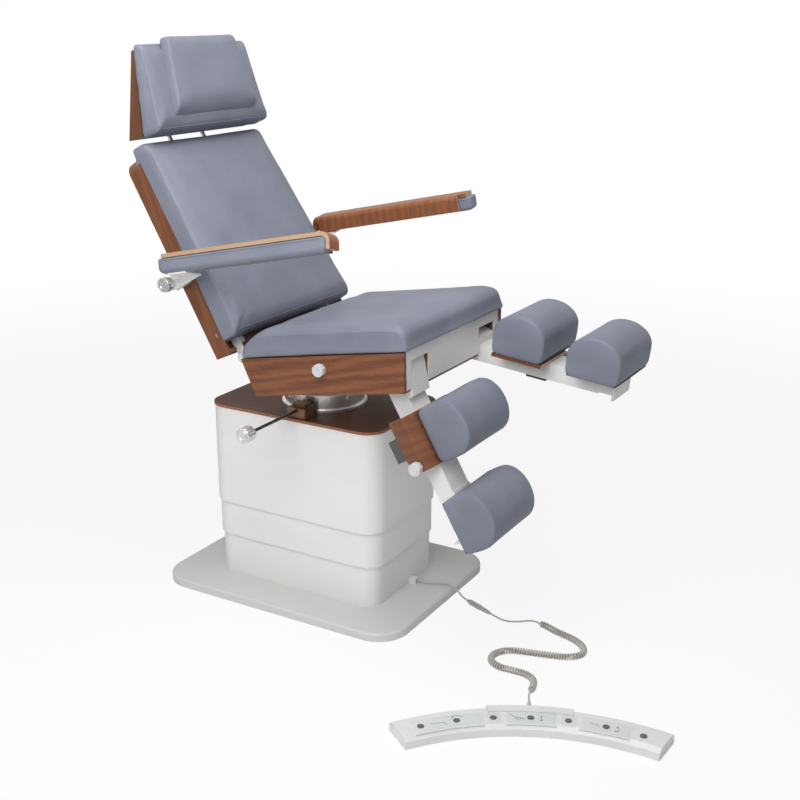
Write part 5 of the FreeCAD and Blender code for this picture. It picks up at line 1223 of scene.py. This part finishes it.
def carrier_block(side, sign):
    """The clamp inside a calf rest's bent board."""
    def block(finish):
        spot = finish.coordinates(leg_frame(side, sign))
        inside = 1 - (finish.axis(spot, 0) * sign).above(0.0868, 0.0002)
        return inside * (1 - finish.axis(spot, 2).above(0.012, 0.0002))

    return block


def paint_wood():
    def rim(finish):
        return 1 - finish.facing((0, 0, 1)).above(0.6, 0.08)

    # the walnut scales per piece, from 0.47 to 1.30, are partly painted shade and light: the top plate under
    # the seat is painted darkest, the arm strips lightest
    paint("column_top_plate", walnut("column_top_walnut", shift(0, 0, 0.559), (1, 9, 1), rim, 0.47, 0.3,
                                     (0.0027, 2), 0.0, sawn=(0.34, 0.145, 0.075)))
    paint("seat_side_panels", walnut("seat_walnut", SEAT, (1, 12, 1.1), figure=0.9))
    paint("back_shell", walnut("back_walnut", BACK, (1.1, 1, 11), tone_and_light=0.90, figure=0.5))
    paint("headrest_shell", walnut("head_walnut", HEAD, (1.1, 1, 9), tone_and_light=0.64, figure=0.5))
    for side, sign in SIDES:
        paint(side + "_armrest_strip", walnut(side + "_arm_walnut", arm_frame(side, sign), (7, 0.9, 7),
                                              arm_cuts(side, sign), 1.30, 0.55))
        leg = leg_frame(side, sign)
        ahead = leg.to_3x3() @ Vector((0, 1, 0))
        paint(side + "_pad_carrier", walnut(
            side + "_carrier_walnut", leg, (9, 1, 9), lambda finish: finish.facing(ahead).above(0.85, 0.05),
            0.85, 0.5, gloss=0.22, block=carrier_block(side, sign)))


# Stage
def look_from():
    """The camera's place and turn: the photograph's viewing angle."""
    eye = Vector((-2.8654255, -1.9189892, 1.6821866))
    target = Vector((0, -0.25733, 0.60435))
    ahead = (target - eye).normalized()
    right = ahead.cross(Vector((0, 0, 1))).normalized()
    up = right.cross(ahead)
    roll = math.radians(0.22)
    right, up = right * math.cos(roll) + up * math.sin(roll), up * math.cos(roll) - right * math.sin(roll)
    turn = Matrix((right, up, -ahead)).transposed().to_4x4()
    return Matrix.Translation(eye) @ turn


def make_camera(look):
    data = bpy.data.cameras.new("photo_camera")
    data.sensor_width = 36
    data.lens = look.lens
    data.clip_end = 60
    camera = add_object("photo_camera", data)
    camera.matrix_world = look_from()
    bpy.context.scene.camera = camera


# each lamp's place, what it points at, its power and its size
LAMPS = (
    ("key_lamp", (-2.9, -0.8, 3.1), (0, -0.1, 0.8), 88, 2.4),
    ("fill_lamp", (2.8, -2.6, 2.4), (0, -0.1, 0.7), 4, 2.6),
    ("top_lamp", (-0.4, -0.25, 2.5), (0, 0, 0.9), 24, 1.7),
)


def make_lamp(name, place, target, power, size):
    data = bpy.data.lights.new(name, "AREA")
    data.energy, data.size = power, size
    lamp = add_object(name, data)
    lamp.visible_camera = False
    turn = (Vector(target) - Vector(place)).to_track_quat("-Z", "Y")
    lamp.matrix_world = shift(*place) @ turn.to_matrix().to_4x4()


def make_world():
    """Soft studio light. Camera rays see white, and shiny faces mirror a brighter room."""
    world = bpy.data.worlds.new("studio")
    bpy.context.scene.world = world
    tree = Tree(world)
    soft, room, white = (tree.node("ShaderNodeBackground", {}, {0: shade, 1: strength}).outputs[0]
                         for shade, strength in (((0.99, 0.99, 1), 0.29), ((1, 1, 1), 0.72), ((1, 1, 1), 1)))
    rays = tree.node("ShaderNodeLightPath").outputs
    mirrored = tree.node("ShaderNodeMixShader", {}, {0: rays["Is Glossy Ray"], 1: soft, 2: room}).outputs[0]
    seen = tree.node("ShaderNodeMixShader", {}, {0: rays["Is Camera Ray"], 1: mirrored, 2: white}).outputs[0]
    tree.node("ShaderNodeOutputWorld", {}, {0: seen})


def make_floor(look):
    floor = start("plane", "studio_floor", size=60, location=(0, 0, -0.0006))
    finish = Finish("floor_paper")
    finish.set(base_color=tuple(look.floor), roughness=0.9, specular_ior_level=0.1)
    glow = finish.node("ShaderNodeEmission", {}, {"Color": (1, 1, 1), "Strength": 1.0})
    camera_ray = Signal(finish, finish.node("ShaderNodeLightPath").outputs["Is Camera Ray"])
    seen = camera_ray * (0.84 + 0.16 * finish.reach(finish.coordinates()).above(3.2, 1.8))
    mix = finish.node("ShaderNodeMixShader", {}, {0: seen, 1: finish.shader.outputs[0], 2: glow.outputs[0]})
    finish.feed(finish.output.inputs[0], mix.outputs[0])
    floor.data.materials.append(finish.material)


class CHAIR_OT_stage(bpy.types.Operator):
    """Camera at the photograph's angle, plain floor and soft light"""
    bl_idname = "chair.stage"
    bl_label = "Stage"

    def execute(self, context):
        look = context.scene.chair_stage
        make_camera(look)
        make_world()
        make_floor(look)
        for lamp in LAMPS:
            make_lamp(*lamp)
        context.scene.view_settings.view_transform = "Standard"
        return {"FINISHED"}


class CHAIR_OT_cords(bpy.types.Operator):
    """Column lead, in-line connector and curly cord"""
    bl_idname = "chair.cords"
    bl_label = "Cords"

    def execute(self, context):
        make_cords()
        return {"FINISHED"}


class CHAIR_OT_frame(bpy.types.Operator):
    """Powder coat, steel and plastic on the frame"""
    bl_idname = "chair.frame"
    bl_label = "Frame finishes"

    def execute(self, context):
        paint_frame()
        return {"FINISHED"}


class CHAIR_OT_wood(bpy.types.Operator):
    """Walnut on the panels, shells, strips and carriers"""
    bl_idname = "chair.wood"
    bl_label = "Wood finishes"

    def execute(self, context):
        paint_wood()
        return {"FINISHED"}


class CHAIR_OT_seat(bpy.types.Operator):
    """Seat cushion"""
    bl_idname = "chair.seat"
    bl_label = "Seat cushion"

    def execute(self, context):
        make_seat_cushion()
        return {"FINISHED"}


class CHAIR_OT_back(bpy.types.Operator):
    """Back cushion"""
    bl_idname = "chair.back"
    bl_label = "Back cushion"

    def execute(self, context):
        make_back_cushion()
        return {"FINISHED"}


class CHAIR_OT_headrest(bpy.types.Operator):
    """Headrest cushion and its pillow pad"""
    bl_idname = "chair.headrest"
    bl_label = "Headrest cushion"

    def execute(self, context):
        make_head_cushion()
        return {"FINISHED"}


class CHAIR_OT_arm_pads(bpy.types.Operator):
    """Pads under the armrests"""
    bl_idname = "chair.arm_pads"
    bl_label = "Armrest pads"

    def execute(self, context):
        for side, sign in SIDES:
            make_arm_pad(side, sign)
        return {"FINISHED"}


class CHAIR_OT_calf_pads(bpy.types.Operator):
    """Bolsters on the leg rests"""
    bl_idname = "chair.calf_pads"
    bl_label = "Calf bolsters"

    def execute(self, context):
        make_calf_pads()
        return {"FINISHED"}


class CHAIR_OT_knobs(bpy.types.Operator):
    """Lobed grips of the seat, armrests and calf rests"""
    bl_idname = "chair.knobs"
    bl_label = "Knobs"

    def execute(self, context):
        make_knobs()
        return {"FINISHED"}


class CHAIR_OT_brake(bpy.types.Operator):
    """Swivel brake's rod and grip"""
    bl_idname = "chair.brake"
    bl_label = "Swivel brake"

    def execute(self, context):
        make_brake()
        return {"FINISHED"}


class CHAIR_OT_fixings(bpy.types.Operator):
    """Screw heads"""
    bl_idname = "chair.fixings"
    bl_label = "Fixings"

    def execute(self, context):
        make_fixings()
        return {"FINISHED"}


class CHAIR_OT_foot_control(bpy.types.Operator):
    """Foot control's panels, marks and buttons"""
    bl_idname = "chair.foot_control"
    bl_label = "Foot control"

    def execute(self, context):
        make_foot_control()
        return {"FINISHED"}


STEPS = ("stage", "cords", "frame", "wood", "seat", "back", "headrest", "arm_pads", "calf_pads", "knobs",
         "brake", "fixings", "foot_control")


class CHAIR_PT_panel(bpy.types.Panel):
    bl_idname = "CHAIR_PT_panel"
    bl_label = "Podiatry chair"
    bl_space_type = "VIEW_3D"
    bl_region_type = "UI"
    bl_category = "Podiatry chair"

    def draw(self, context):
        for step in STEPS:
            self.layout.operator("chair." + step)
        for group in (context.scene.chair_sizes, context.scene.chair_colours, context.scene.chair_stage):
            for name in group.bl_rna.properties.keys():
                if name not in ("rna_type", "name"):
                    self.layout.prop(group, name)


CLASSES = (
    ChairColours, ChairSizes, StageLook, CHAIR_OT_stage, CHAIR_OT_cords, CHAIR_OT_frame, CHAIR_OT_wood,
    CHAIR_OT_seat, CHAIR_OT_back, CHAIR_OT_headrest, CHAIR_OT_arm_pads, CHAIR_OT_calf_pads, CHAIR_OT_knobs,
    CHAIR_OT_brake, CHAIR_OT_fixings, CHAIR_OT_foot_control, CHAIR_PT_panel,
)


def register():
    for item in CLASSES:
        bpy.utils.register_class(item)
    bpy.types.Scene.chair_colours = bpy.props.PointerProperty(type=ChairColours)
    bpy.types.Scene.chair_sizes = bpy.props.PointerProperty(type=ChairSizes)
    bpy.types.Scene.chair_stage = bpy.props.PointerProperty(type=StageLook)


def unregister():
    for name in ("chair_colours", "chair_sizes", "chair_stage"):
        delattr(bpy.types.Scene, name)
    for item in reversed(CLASSES):
        bpy.utils.unregister_class(item)


def main():
    register()
    for step in STEPS:
        getattr(bpy.ops.chair, step)()
    clear_selection()


if __name__ == "__main__":
    main()
